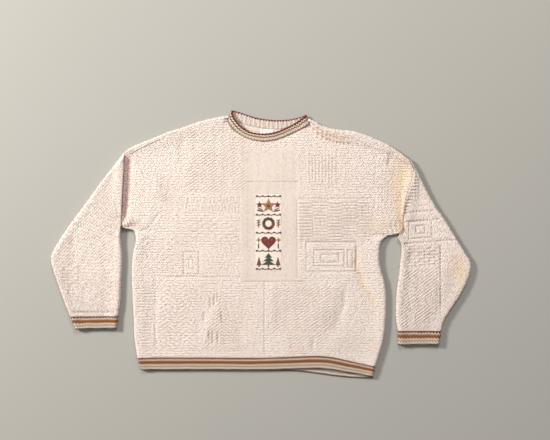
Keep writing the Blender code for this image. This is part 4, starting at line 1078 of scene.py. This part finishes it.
def inside_polygon(x, y, corners):
    """Distance into a polygon, positive inside."""
    corners = np.array(corners, float)
    nearest = np.full(x.shape, 1e9)
    inside = np.zeros(x.shape, bool)
    for (ax, ay), (bx, by) in zip(corners, np.roll(corners, -1, axis=0)):
        nearest = np.minimum(nearest, from_line(x, y, ax, ay, bx, by)[1])
        with np.errstate(divide="ignore", invalid="ignore"):
            crossing = ax + (y - ay) * (bx - ax) / (by - ay)
        inside ^= ((ay > y) != (by > y)) & (x < crossing)
    return np.where(inside, nearest, -nearest)


def inside_stroke(x, y, *line, half):
    """Distance into a stroke of this half width between two points, positive inside."""
    return half - from_line(x, y, *line)[1]


def star(cx, cy, radius, points=5, inner=0.45):
    """Corners of a star; inner is how far in its notches reach, as a share."""
    turns = [math.pi / 2 + math.pi * k / points for k in range(2 * points)]
    reach = [radius if k % 2 == 0 else radius * inner for k in range(2 * points)]
    return [(cx + r * math.cos(a), cy + r * math.sin(a)) for a, r in zip(turns, reach)]


def holly_leaf(cx, cy, length, turn):
    """A leaf with three scallops a side."""
    outline = []
    for side in (1, -1):
        steps = range(0, 25) if side > 0 else range(24, -1, -1)
        for k in steps:
            t = k / 24
            scallops = 0.72 + 0.28 * abs(math.cos(3 * math.pi * t))
            half = length * 0.30 * math.sin(math.pi * t) ** 0.7 * scallops
            outline.append((length * (t - 0.5), side * half))
    c, s = math.cos(turn), math.sin(turn)
    return [(cx + a * c - b * s, cy + a * s + b * c) for a, b in outline]


def heart(cx, cy, size):
    """Outline of a heart about as wide and as tall as size."""
    outline = []
    for k in range(40):
        a = 2 * math.pi * k / 40
        x = 16 * math.sin(a) ** 3
        y = 13 * math.cos(a) - 5 * math.cos(2 * a) - 2 * math.cos(3 * a) - math.cos(4 * a)
        outline.append((cx + size * x / 32, cy + size * y / 32))
    return outline


def motifs():
    """Filled shapes of the strip, each over the ones before it: name of the yarn, kind, values."""
    cx, shapes = STRIP_MIDDLE, []

    def fill(yarn, corners):
        shapes.append((yarn, "polygon", corners))

    def stroke(yarn, *line_and_half):
        shapes.append((yarn, "stroke", line_and_half))

    def dot(yarn, x, y, radius):
        stroke(yarn, x, y, x, y, radius)

    # Garlands of zigzag with knots, between the pictures
    for y in (107.0, 66.0, 26.0, -14.0, -54.0):
        for k in range(8):
            x0 = cx - 26 + 6.5 * k
            dy = 1.7 if k % 2 else -1.7
            stroke("forest", x0, y - dy, x0 + 6.5, y + dy, 0.9)
        for k in (0, 2, 4, 6, 8):
            dot("maroon", cx - 26 + 6.5 * k, y, 2.5 if k % 4 == 0 else 1.7)
    # Three stars over each other's gaps
    fill("tan", star(cx, 86.0, 16.5))
    fill("maroon", star(cx - 20, 88.0, 8.5))
    fill("maroon", star(cx + 20, 88.0, 8.5))
    dot("brick", cx, 85.5, 3.8)
    for side in (-1, 1):
        stroke("forest", cx + side * 12, 73.5, cx + side * 24, 76.0, 1.4)
        stroke("olive", cx + side * 14, 77.0, cx + side * 22, 80.0, 1.1)
    # A wreath of holly leaves with berries and a bow, and sprigs beside it
    for k in range(10):
        a = 2 * math.pi * k / 10
        leaf = holly_leaf(cx + 10.5 * math.cos(a), 46.5 + 10.5 * math.sin(a), 12.5, a + 1.9)
        fill("forest" if k % 3 else "olive", leaf)
    for k in range(5):
        a = 2 * math.pi * (k + 0.25) / 5
        dot("maroon", cx + 10.5 * math.cos(a), 46.5 + 10.5 * math.sin(a), 2.1)
    for side in (-1, 1):
        fill("maroon", [(cx, 36.5), (cx + side * 7, 40.5), (cx + side * 7, 32.5)])
        stroke("brick", cx + side * 22, 38.0, cx + side * 22, 54.0, 1.0)
        for dy in (-5.0, 0.0, 5.0):
            stroke("olive", cx + side * 22 - 3.5, 47.5 + dy, cx + side * 22 + 3.5, 49.5 + dy, 1.0)
    # A large heart with tan dots, and small stars beside it
    fill("maroon", heart(cx, 5.5, 33.0))
    for dx, dy in ((-7, 4), (7, 4), (0, -5)):
        dot("tan", cx + dx, 6.5 + dy, 1.5)
    for side in (-1, 1):
        fill("tan", star(cx + side * 22, 10.0, 6.5, 4, 0.4))
        stroke("forest", cx + side * 22, -7.5, cx + side * 22, 1.0, 1.3)
    # One wide fir with a trunk, and saplings beside it
    for k, half in enumerate((8.0, 12.0, 15.5)):
        top = -19.0 - 8.0 * k
        fill("forest", [(cx - half, top - 10), (cx + half, top - 10), (cx, top)])
    stroke("brick", cx, -45.5, cx, -48.5, 1.8)
    for side in (-1, 1):
        fill("olive", [(cx + side * 21 - 5.5, -46), (cx + side * 21 + 5.5, -46), (cx + side * 21, -27)])
        stroke("brick", cx + side * 21, -47, cx + side * 21, -48.5, 1.6)
    return shapes


def make_embroidery(name):
    """Raised stitching on a thin worked ground, laid over the front's relief."""
    x0, x1, y0, y1 = STRIP
    x, y = np.meshgrid(np.linspace(x0, x1, 116), np.linspace(y0, y1, 340))
    depth, thread = np.full(x.shape, -9.0), np.zeros(x.shape)
    for yarn, kind, values in motifs():
        if kind == "polygon":
            into = inside_polygon(x, y, values)
        else:
            into = inside_stroke(x, y, *values[:4], half=values[4])
        thread = np.where(into > 0, THREADS.index(yarn), thread)
        depth = np.where(into > 0, into, np.maximum(depth, into))
    raised = MOTIF_RAISE * ease(np.clip(depth, 0, 1.2) / 1.2)
    edge = np.minimum(np.minimum(x - x0, x1 - x), np.minimum(y - y0, y1 - y))
    surface = body_height(x, y)
    outer = np.stack((x, y, surface + 0.05 + GROUND_RAISE * ease(edge / 2.0) + raised), -1)
    inner = np.stack((x, y, surface - 0.6), -1)
    return shell(name, outer, inner, np.stack((x, y), -1), fields={"thread": (thread, thread)})


# Sewn seams

# A stitch along its length: place and thickness, as shares. Then its number of sides, half length, slant, and
# how far its ends sink into the cloth
STITCH_PROFILE = ((-1.0, 0.45), (-0.6, 0.95), (0.0, 1.0), (0.6, 0.95), (1.0, 0.45))
STITCH_SIDES, STITCH_HALF, STITCH_SLANT, STITCH_SINK = 6, 1.7, 0.45, 0.75
# How far beside a seam line its stitches lie
BESIDE_SEAM = 0.15


def stitch_points(dark):
    """Middle and direction of every sewing stitch, of the dark seam line or of the pale ones."""
    found = []

    def run(xs, ys, height, spacing=4.6):
        line = np.stack((xs, ys), -1)
        length = np.append(0, np.cumsum(np.linalg.norm(np.diff(line, axis=0), axis=1)))
        at = np.arange(spacing / 2, length[-1], spacing)
        px, py = (np.interp(at, length, line[:, k]) for k in (0, 1))
        tx, ty = np.interp(at + 0.5, length, line[:, 0]) - px, np.interp(at + 0.5, length, line[:, 1]) - py
        norm = np.maximum(np.hypot(tx, ty), 1e-6)
        for x, y, c, d, z in zip(px, py, tx / norm, ty / norm, height(px, py)):
            found.append((x, y, z, -d + STITCH_SLANT * c, c + STITCH_SLANT * d))

    def lap_edge(xs):
        return shoulder_line(xs) - shoulder_overlap(xs) + BESIDE_SEAM

    if dark:
        xs = np.linspace(LEFT_ARMHOLE[0][0] + 11, -224.0, 100)
        run(xs, lap_edge(xs), lambda x, y: body_height(x, y) + 0.35, 4.0)
        return found
    xs = np.linspace(NECK_RIGHT + 6, 250.0, 200)
    run(xs, lap_edge(xs), body_height)
    xs = np.linspace(NECK_LEFT + 8, NECK_RIGHT - 8, 200)
    run(xs, front_neck(xs), lambda x, y: np.full(x.shape, COLLAR_LAID - 0.7), 4.2)
    xs = np.linspace(HEM_SEAM_ENDS[0] + 12, HEM_SEAM_ENDS[1] - 12, 400)
    run(xs, hem_front_seam(xs) + BESIDE_SEAM, lambda x, y: body_height(x, y) - 0.2)
    return found


def make_seam_threads(name, dark=False):
    """Short slanted stitches of yarn over the seams, or dark running stitches along the left shoulder,
    painting that seam's shade.
    """
    radius = sizes().thread / MM / 2 * (1.5 if dark else 1.0)
    points, faces, sides = [], [], STITCH_SIDES
    for x, y, z, dx, dy in stitch_points(dark):
        norm = math.hypot(dx, dy)
        dx, dy = dx / norm, dy / norm
        if dark:
            dx, dy = dy, -dx
        first = len(points)
        for t, thickness in STITCH_PROFILE:
            step, sink = STITCH_HALF * t, STITCH_SINK * t * t
            for j in range(sides):
                a = 2 * math.pi * j / sides
                off, up = radius * thickness * math.cos(a), radius * thickness * math.sin(a)
                points.append((x + dx * step - dy * off, y + dy * step + dx * off, z - sink + up))
        last = len(points) - sides
        for start in range(first, last, sides):
            for j in range(sides):
                a, b = start + j, start + (j + 1) % sides
                faces.append([a, b, b + sides, a + sides])
        faces.append([first + j for j in reversed(range(sides))])
        faces.append([last + j for j in range(sides)])
    points = np.array(points) + CENTRED
    if signed_volume(points, faces) < 0:
        faces = [face[::-1] for face in faces]
    corners = np.concatenate([np.array(face) for face in faces])
    return add_mesh(name, points, faces, points[corners][:, :2], {})


# Materials


class Nodes:
    """Adds shader nodes in short calls."""

    def __init__(self, name):
        self.material = bpy.data.materials.new(name)
        self.material.use_nodes = True
        self.tree = self.material.node_tree
        self.shader = self.tree.nodes["Principled BSDF"]

    def add(self, kind, **settings):
        node = self.tree.nodes.new(kind)
        for key, value in settings.items():
            setattr(node, key, value)
        return node

    def put(self, value, socket):
        if isinstance(value, bpy.types.NodeSocket):
            self.tree.links.new(value, socket)
        else:
            socket.default_value = value

    def math(self, operation, *values):
        node = self.add("ShaderNodeMath", operation=operation)
        for value, socket in zip(values, node.inputs):
            self.put(value, socket)
        return node.outputs[0]

    def plus(self, first, second):
        return self.math("ADD", first, second)

    def times(self, first, second):
        return self.math("MULTIPLY", first, second)

    def mix(self, share, first, second, blend="MIX"):
        node = self.add("ShaderNodeMix", data_type="RGBA", blend_type=blend)
        self.put(share, node.inputs["Factor"])
        self.put(first, node.inputs["A"])
        self.put(second, node.inputs["B"])
        return node.outputs["Result"]

    def tinted(self, first, second):
        """The product of two colours."""
        return self.mix(1.0, first, second, "MULTIPLY")

    def noise(self, vector, scale, detail=2.0, roughness=0.5):
        node = self.add("ShaderNodeTexNoise")
        self.put(vector, node.inputs["Vector"])
        node.inputs["Scale"].default_value = scale
        node.inputs["Detail"].default_value = detail
        node.inputs["Roughness"].default_value = roughness
        return node.outputs["Fac"]

    def drift(self, vector, scale, reach, detail=2.0):
        """A value that wanders either way of 0, by half the reach at most."""
        return self.times(self.math("SUBTRACT", self.noise(vector, scale, detail), 0.5), reach)

    def flecked(self, rgb, pattern, low, high):
        """A colour tinted by a pattern: low and high are each a value of the pattern and the tint there."""
        return self.tinted(rgb, self.ramp(pattern, [(at, opaque(tint)) for at, tint in (low, high)]))

    def ramp(self, value, stops, interpolation="LINEAR"):
        node = self.add("ShaderNodeValToRGB")
        node.color_ramp.interpolation = interpolation
        elements = node.color_ramp.elements
        while len(elements) < len(stops):
            elements.new(1.0)
        for element, (position, value_at) in zip(elements, stops):
            element.position = position
            element.color = value_at
        self.put(value, node.inputs["Fac"])
        return node.outputs["Color"]

    def knit(self):
        """Knit coordinates in millimetres, across and along the wales."""
        split = self.add("ShaderNodeSeparateXYZ")
        self.put(self.add("ShaderNodeUVMap", uv_map="knit").outputs["UV"], split.inputs[0])
        return [self.times(split.outputs[axis], UV_SCALE) for axis in (0, 1)]

    def field(self, name):
        """A value stored on the mesh, or 0 where a piece has none."""
        return self.add("ShaderNodeAttribute", attribute_name=name).outputs["Fac"]

    def place(self):
        return self.add("ShaderNodeTexCoord").outputs["Object"]

    def bump(self, height, distance, strength=1.0):
        node = self.add("ShaderNodeBump")
        node.inputs["Distance"].default_value = distance
        node.inputs["Strength"].default_value = strength
        self.put(height, node.inputs["Height"])
        return node.outputs["Normal"]

    def finish(self, base, normal, roughness=0.92, sheen=0.1):
        self.put(base, self.shader.inputs["Base Color"])
        self.put(normal, self.shader.inputs["Normal"])
        self.shader.inputs["Roughness"].default_value = roughness
        self.shader.inputs["Sheen Weight"].default_value = sheen
        self.shader.inputs["Sheen Roughness"].default_value = 0.5
        self.shader.inputs["Specular IOR Level"].default_value = 0.2
        return self.material


def opaque(rgb):
    """A colour with full alpha."""
    return (*rgb, 1.0)


def stitch_height(nodes, across, along):
    """Height of stockinette: columns of V-shaped stitches, each leg a slanted oval."""
    in_column = nodes.math("FRACT", nodes.math("DIVIDE", across, sizes().stitch_width / MM))
    from_middle = nodes.times(nodes.math("ABSOLUTE", nodes.math("SUBTRACT", in_column, 0.5)), 2.0)
    rows = nodes.math("DIVIDE", along, sizes().stitch_height / MM)
    row = nodes.math("SUBTRACT", rows, nodes.times(from_middle, 0.62))
    leg_end = nodes.math("SINE", nodes.times(nodes.math("FRACT", row), math.pi))
    leg_side = nodes.math("SINE", nodes.times(from_middle, math.pi))
    rounded = nodes.math("POWER", nodes.math("MAXIMUM", leg_side, 0.0), 0.6)
    return nodes.times(rounded, nodes.plus(0.45, nodes.times(leg_end, 0.55)))


def seed_height(nodes, across, along):
    """Height of seed stitch: rounded grains, staggered from row to row and a little uneven."""
    row = nodes.math("DIVIDE", along, sizes().stitch_height / MM)
    column = nodes.math("DIVIDE", across, sizes().stitch_width / MM)
    stagger = nodes.times(nodes.math("MODULO", nodes.math("FLOOR", row), 2.0), 0.5)
    corner = nodes.add("ShaderNodeCombineXYZ")
    nodes.put(nodes.plus(column, stagger), corner.inputs[0])
    nodes.put(row, corner.inputs[1])
    cells = nodes.add("ShaderNodeTexVoronoi", voronoi_dimensions="2D")
    cells.inputs["Scale"].default_value = 1.0
    cells.inputs["Randomness"].default_value = 0.45
    nodes.put(corner.outputs[0], cells.inputs["Vector"])
    away = nodes.times(cells.outputs["Distance"], 1.5)
    return nodes.math("MAXIMUM", nodes.math("SUBTRACT", 1.0, nodes.times(away, away)), 0.0)


def knit_material(name, base_of):
    """Yarn with stitches and fibre fuzz. base_of(nodes, across, height, place) gives its colour."""
    nodes = Nodes(name)
    across, along = nodes.knit()
    place = nodes.place()
    uneven_across = nodes.plus(across, nodes.drift(place, 90.0, 1.1))
    uneven_along = nodes.plus(along, nodes.drift(place, 70.0, 1.0, 1.0))
    stockinette = stitch_height(nodes, uneven_across, uneven_along)
    share = nodes.times(nodes.field("seed"), 0.75)
    plain = nodes.times(stockinette, nodes.math("SUBTRACT", 1.0, share))
    height = nodes.plus(plain, nodes.times(seed_height(nodes, across, along), share))
    fuzz = nodes.times(nodes.noise(place, 1500.0, 3.0, 0.65), 0.22)
    base = base_of(nodes, across, height, place)
    return nodes.finish(base, nodes.bump(nodes.plus(height, fuzz), sizes().stitch_depth))


# Warm tint of the plain stockinette, in place of the warm painted shade that its shallower dips show less of,
# then the tint of the yellow-tinted places and of the painted warm shade
PLAIN_TINT = (1.0, 0.97, 0.935)
YELLOW_TINT_COLOUR, WARM_SHADE_TINT = (0.985, 0.87, 0.64), (1.03, 0.71, 0.73)
WHITE = (1.0, 1.0, 1.0)


def ivory_base(nodes, across, height, place):
    """Ivory yarn with slow colour changes, flecks, yellow-tinted places, painted warm shade, and painted
    shade between the stitches and in the dips.
    """
    slow = nodes.noise(place, 9.0, 3.0, 0.6)
    light = nodes.flecked(opaque(colours().ivory), slow, (0.30, (0.98, 0.965, 0.94)), (0.70, WHITE))
    light = nodes.flecked(light, nodes.noise(place, 420.0), (0.35, (0.93, 0.915, 0.90)), (0.6, WHITE))
    # Yellow tint, then the painted warm shade
    for field, tint in (("yellow_tint", YELLOW_TINT_COLOUR), ("warm_shade", WARM_SHADE_TINT)):
        light = nodes.mix(nodes.field(field), light, nodes.tinted(light, opaque(tint)))
    seed = nodes.field("seed")
    # Plain stockinette warmed in place of the painted shade its dips lack
    light = nodes.mix(seed, nodes.tinted(light, opaque(PLAIN_TINT)), light)
    # Stockinette lies smoother than seed stitch, so its dips are shallower and take less painted shade
    softness = nodes.plus(0.28, nodes.times(seed, 0.40))
    shade = opaque(colours().ivory_painted_shade)
    # Painted shade between the stitches, darker where the stitch pattern is low
    yarn = nodes.mix(nodes.math("POWER", height, softness), shade, light)
    # Painted shade in the dips of the relief and along the shaded seams and creases
    return nodes.mix(nodes.times(nodes.field("dip_shade"), 0.85), yarn, shade)


def yarn_colour(name):
    """One of the user's colours, by its name."""
    return opaque(getattr(colours(), name))


# Width of a wale of the bands, and how far it shifts the edge of a stripe
WALE, STRIPE_JOG = 6.6, 0.027


def striped_base(stripes, ivory_inside):
    """Base colour from the stripe coordinate: seam 0, free edge 0.5, and back to the seam on the inside."""

    def base(nodes, across, height, place):
        wale = nodes.math("SINE", nodes.times(across, 2 * math.pi / WALE))
        shift = nodes.plus(nodes.times(wale, STRIPE_JOG), nodes.drift(place, 60.0, 0.05))
        stops = [(share / 2, yarn_colour(name)) for share, name in stripes]
        if ivory_inside:
            stops += [(0.5, yarn_colour("maroon")), (0.57, yarn_colour("ivory"))]
        else:
            ends = [share for share, _ in stripes[1:]] + [1.0]
            mirrored = [(1 - end / 2, yarn_colour(name)) for end, (_, name) in zip(ends, stripes)]
            stops += sorted(mirrored)[1:]
        banded = nodes.ramp(nodes.plus(nodes.field("stripe"), shift), stops, "CONSTANT")
        fleck = nodes.noise(place, 500.0)
        lit = nodes.flecked(banded, fleck, (0.3, (0.78, 0.76, 0.74)), (0.65, (1.08, 1.06, 1.04)))
        # Painted shade: the stripes darkened where the stitches dip and in the grooves between the wales
        dark = nodes.tinted(banded, opaque((0.70, 0.63, 0.57)))
        shade = nodes.plus(0.62, nodes.times(wale, 0.38))
        return nodes.mix(nodes.times(nodes.math("POWER", height, 0.6), shade), dark, lit)

    return base


# The strip's own brick, and the painted shade that darkens its ground from the front's ivory, in place of the
# dips it lacks
STRIP_BRICK, STRIP_GROUND_SHADE = (0.22, 0.062, 0.03), 0.95


def thread_base(nodes, place):
    """Colour of the embroidery, picked by the thread number stored on the mesh."""
    ground = [v * STRIP_GROUND_SHADE * tint for v, tint in zip(colours().ivory, PLAIN_TINT)]
    own = {"ground": opaque(ground), "brick": opaque(STRIP_BRICK)}
    yarns = [own.get(name) or yarn_colour(name) for name in THREADS]
    last = len(THREADS) - 1
    stops = [(max(k - 0.5, 0.0) / last, yarn) for k, yarn in enumerate(yarns)]
    banded = nodes.ramp(nodes.math("DIVIDE", nodes.field("thread"), float(last)), stops, "CONSTANT")
    dark, light = (0.3, (0.72, 0.72, 0.72)), (0.65, (1.1, 1.1, 1.1))
    return nodes.flecked(banded, nodes.noise(place, 700.0), dark, light)


def embroidery_material():
    """Satin stitches: fine slanted strands, with painted shade between them."""
    nodes = Nodes("embroidery_yarn")
    across, along = nodes.knit()
    place = nodes.place()
    slant = nodes.plus(across, nodes.times(along, 0.45))
    strands = nodes.math("ABSOLUTE", nodes.math("SINE", nodes.times(slant, math.pi / 1.25)))
    base = thread_base(nodes, place)
    # Painted shade between the strands
    between = nodes.tinted(base, opaque((0.55, 0.55, 0.55)))
    coloured = nodes.mix(nodes.math("POWER", strands, 0.45), between, base)
    height = nodes.plus(strands, nodes.times(nodes.noise(place, 2200.0), 0.3))
    return nodes.finish(coloured, nodes.bump(height, 0.3 * MM, 0.8), 0.8, 0.15)


def shaded(rgb, factor):
    """A colour made darker or lighter by a factor."""
    return opaque([v * factor for v in rgb])


def plain_yarn(name, rgb):
    """Plied sewing yarn."""
    nodes = Nodes(name)
    ply = nodes.math("SINE", nodes.times(nodes.plus(*nodes.knit()), 2 * math.pi / 0.9))
    # Painted shade in the grooves between the plies
    base = nodes.mix(nodes.plus(0.5, nodes.times(ply, 0.5)), shaded(rgb, 0.75), shaded(rgb, 1.0))
    return nodes.finish(base, nodes.bump(nodes.plus(ply, nodes.noise(nodes.place(), 2500.0)), 0.15 * MM, 0.6))


def label_material():
    """Fine satin weave."""
    nodes = Nodes("label_weave")
    across, along = nodes.knit()
    warp = nodes.math("SINE", nodes.times(across, 2 * math.pi / 0.5))
    weft = nodes.math("SINE", nodes.times(along, 2 * math.pi / 0.7))
    weave = nodes.plus(0.5, nodes.times(nodes.times(warp, weft), 0.5))
    # Painted shade where warp and weft dip
    base = nodes.mix(weave, shaded(colours().label, 0.85), shaded(colours().label, 1.0))
    return nodes.finish(base, nodes.bump(weave, 0.08 * MM, 0.7), 0.6, 0.1)


def floor_material():
    """Matt painted board with a faint tooth."""
    nodes = Nodes("floor_paint")
    place = nodes.place()
    rgb = bpy.context.scene.sweater_stage.floor
    base = nodes.mix(nodes.noise(place, 3.0), shaded(rgb, 0.985), shaded(rgb, 1.015))
    return nodes.finish(base, nodes.bump(nodes.noise(place, 900.0), 0.06 * MM, 0.4), 0.85, 0.0)


# Operators


class SWEATER_OT_body(bpy.types.Operator):
    """Make the knitted front and back panels."""

    bl_idname = "sweater.body"
    bl_label = "Front and back"

    def execute(self, context):
        ivory = knit_material("ivory_yarn", ivory_base)
        front = settle(make_front(), "ivory_knit", ivory, "front")
        back = settle(make_back(), "ivory_knit", ivory, "back")
        return {"FINISHED"}


class SWEATER_OT_sleeves(bpy.types.Operator):
    """Make both sleeves as flattened tubes of knit."""

    bl_idname = "sweater.sleeves"
    bl_label = "Sleeves"

    def execute(self, context):
        ivory = bpy.data.materials["ivory_yarn"]
        left = make_sleeve("sleeve_left_knit", LEFT_SLEEVE, LEFT_SLEEVE_BLOCKS, 200, LEFT_LIP, 0.8)
        right = make_sleeve(
            "sleeve_right_knit", RIGHT_SLEEVE, RIGHT_SLEEVE_BLOCKS, 216, RIGHT_LIP, 1.0, 1.0, COURSE_SLOPE
        )
        settle(left, "ivory_knit", ivory, "sleeve_left")
        settle(right, "ivory_knit", ivory, "sleeve_right")
        return {"FINISHED"}


class SWEATER_OT_bands(bpy.types.Operator):
    """Make the striped collar, hem band and cuffs."""

    bl_idname = "sweater.bands"
    bl_label = "Collar, hem and cuffs"

    def execute(self, context):
        hem_yarn = knit_material("striped_yarn", striped_base(HEM_STRIPES, False))
        collar_yarn = knit_material("collar_yarn", striped_base(COLLAR_STRIPES, True))
        collar = settle(make_collar("collar_knit"), "striped_band", collar_yarn, "collar")
        hem = settle(make_hem("hem_knit"), "striped_band", hem_yarn, "hem_band")
        left = make_cuff("cuff_left_knit", *LEFT_CUFF, 27.0)
        settle(left, "striped_band", hem_yarn, "cuff_left")
        right = make_cuff("cuff_right_knit", *RIGHT_CUFF, 30.0)
        settle(right, "striped_band", hem_yarn, "cuff_right")
        return {"FINISHED"}


class SWEATER_OT_embroidery(bpy.types.Operator):
    """Make the embroidered strip on the chest."""

    bl_idname = "sweater.embroidery"
    bl_label = "Embroidered strip"

    def execute(self, context):
        strip = settle(make_embroidery("embroidered_strip"), "ivory_knit", embroidery_material())
        return {"FINISHED"}


class SWEATER_OT_sewing(bpy.types.Operator):
    """Make the seam stitches and the blank label."""

    bl_idname = "sweater.sewing"
    bl_label = "Seams and label"

    def execute(self, context):
        yarn = plain_yarn("sewing_yarn", [v * 0.9 for v in colours().ivory])
        settle(make_seam_threads("seam_threads"), "ivory_knit", yarn)
        # Painted shade of the left shoulder seam's line, drawn as stitches in a dark yarn made from the
        # painted shade colour
        shade_yarn = plain_yarn("painted_seam_shade_yarn", [v * 0.28 for v in colours().ivory_painted_shade])
        settle(make_seam_threads("dark_seam_threads", dark=True), "ivory_knit", shade_yarn)
        label = settle(make_label("label_weave"), "woven_label", label_material(), "neck_label")
        return {"FINISHED"}


# Stage, in metres: place and size of each light, colours of the lights and the room, half the floor's width,
# x and y of the camera, and the width of its sensor in millimetres
SOFT_LIGHT, SOFT_LIGHT_SIZE = (-2.76, 1.36, 1.80), 0.55
TOP_LIGHT, TOP_LIGHT_SIZE = (0.5, 1.9, 2.0), 1.0
LIGHT_COLOUR, ROOM_COLOUR = (1.0, 0.97, 0.925), (0.95, 0.955, 1.0)
FLOOR_HALF, CAMERA_PLAN, SENSOR_WIDTH = 3.0, (0.0309, 0.0544), 36.0


def add_light(name, power, size, place):
    """A square soft light aimed at the middle of the garment."""
    data = bpy.data.lights.new(name, "AREA")
    data.energy = power
    data.size = size
    data.color = LIGHT_COLOUR
    lamp = link_new(name, data)
    lamp.location = place
    lamp.rotation_euler = (-Vector(place)).to_track_quat("-Z", "Y").to_euler()


class SWEATER_OT_stage(bpy.types.Operator):
    """Make the floor, the soft light and the camera."""

    bl_idname = "sweater.stage"
    bl_label = "Stage"

    def execute(self, context):
        scene, stage = context.scene, context.scene.sweater_stage
        data = bpy.data.meshes.new("floor")
        corners = [(x * FLOOR_HALF, y * FLOOR_HALF, 0) for x, y in ((-1, -1), (1, -1), (1, 1), (-1, 1))]
        data.from_pydata(corners, [], [(0, 1, 2, 3)])
        data.materials.append(floor_material())
        floor = link_new("floor", data)
        add_light("soft_light", stage.light_power, SOFT_LIGHT_SIZE, SOFT_LIGHT)
        add_light("top_light", stage.top_power, TOP_LIGHT_SIZE, TOP_LIGHT)
        scene.world = bpy.data.worlds.new("room")
        scene.world.use_nodes = True
        sky = scene.world.node_tree.nodes["Background"]
        sky.inputs["Color"].default_value = opaque(ROOM_COLOUR)
        sky.inputs["Strength"].default_value = stage.fill
        camera_data = bpy.data.cameras.new("camera")
        camera_data.lens = stage.lens
        camera_data.sensor_width = SENSOR_WIDTH
        scene.camera = link_new("camera", camera_data)
        scene.camera.location = (*CAMERA_PLAN, stage.camera_height)
        scene.view_settings.view_transform = "Standard"
        scene.view_settings.look = "None"
        return {"FINISHED"}


OPERATORS = (
    SWEATER_OT_body,
    SWEATER_OT_sleeves,
    SWEATER_OT_bands,
    SWEATER_OT_embroidery,
    SWEATER_OT_sewing,
    SWEATER_OT_stage,
)


class SWEATER_PT_panel(bpy.types.Panel):
    """Lists the steps that make the sweater."""

    bl_idname = "SWEATER_PT_panel"
    bl_label = "Laid knitted sweater"
    bl_space_type = "VIEW_3D"
    bl_region_type = "UI"
    bl_category = "Sweater"

    def draw(self, context):
        scene = context.scene
        for group in (scene.sweater_sizes, scene.sweater_colours, scene.sweater_stage):
            box = self.layout.box()
            for name in group.bl_rna.properties.keys():
                if name not in ("rna_type", "name"):
                    box.prop(group, name)
        for operator in OPERATORS:
            self.layout.operator(operator.bl_idname)


GROUPS = (SweaterSizes, SweaterColours, SweaterStage)


def register():
    """Registers the groups, the operators and the panel."""
    for item in (*GROUPS, *OPERATORS, SWEATER_PT_panel):
        bpy.utils.register_class(item)
    bpy.types.Scene.sweater_sizes = PointerProperty(type=SweaterSizes)
    bpy.types.Scene.sweater_colours = PointerProperty(type=SweaterColours)
    bpy.types.Scene.sweater_stage = PointerProperty(type=SweaterStage)


def unregister():
    del bpy.types.Scene.sweater_sizes
    del bpy.types.Scene.sweater_colours
    del bpy.types.Scene.sweater_stage
    for item in reversed((*GROUPS, *OPERATORS, SWEATER_PT_panel)):
        bpy.utils.unregister_class(item)


def main():
    """Makes the sweater and its stage."""
    register()
    bpy.ops.sweater.body()
    bpy.ops.sweater.sleeves()
    bpy.ops.sweater.bands()
    bpy.ops.sweater.embroidery()
    bpy.ops.sweater.sewing()
    bpy.ops.sweater.stage()


if __name__ == "__main__":
    main()
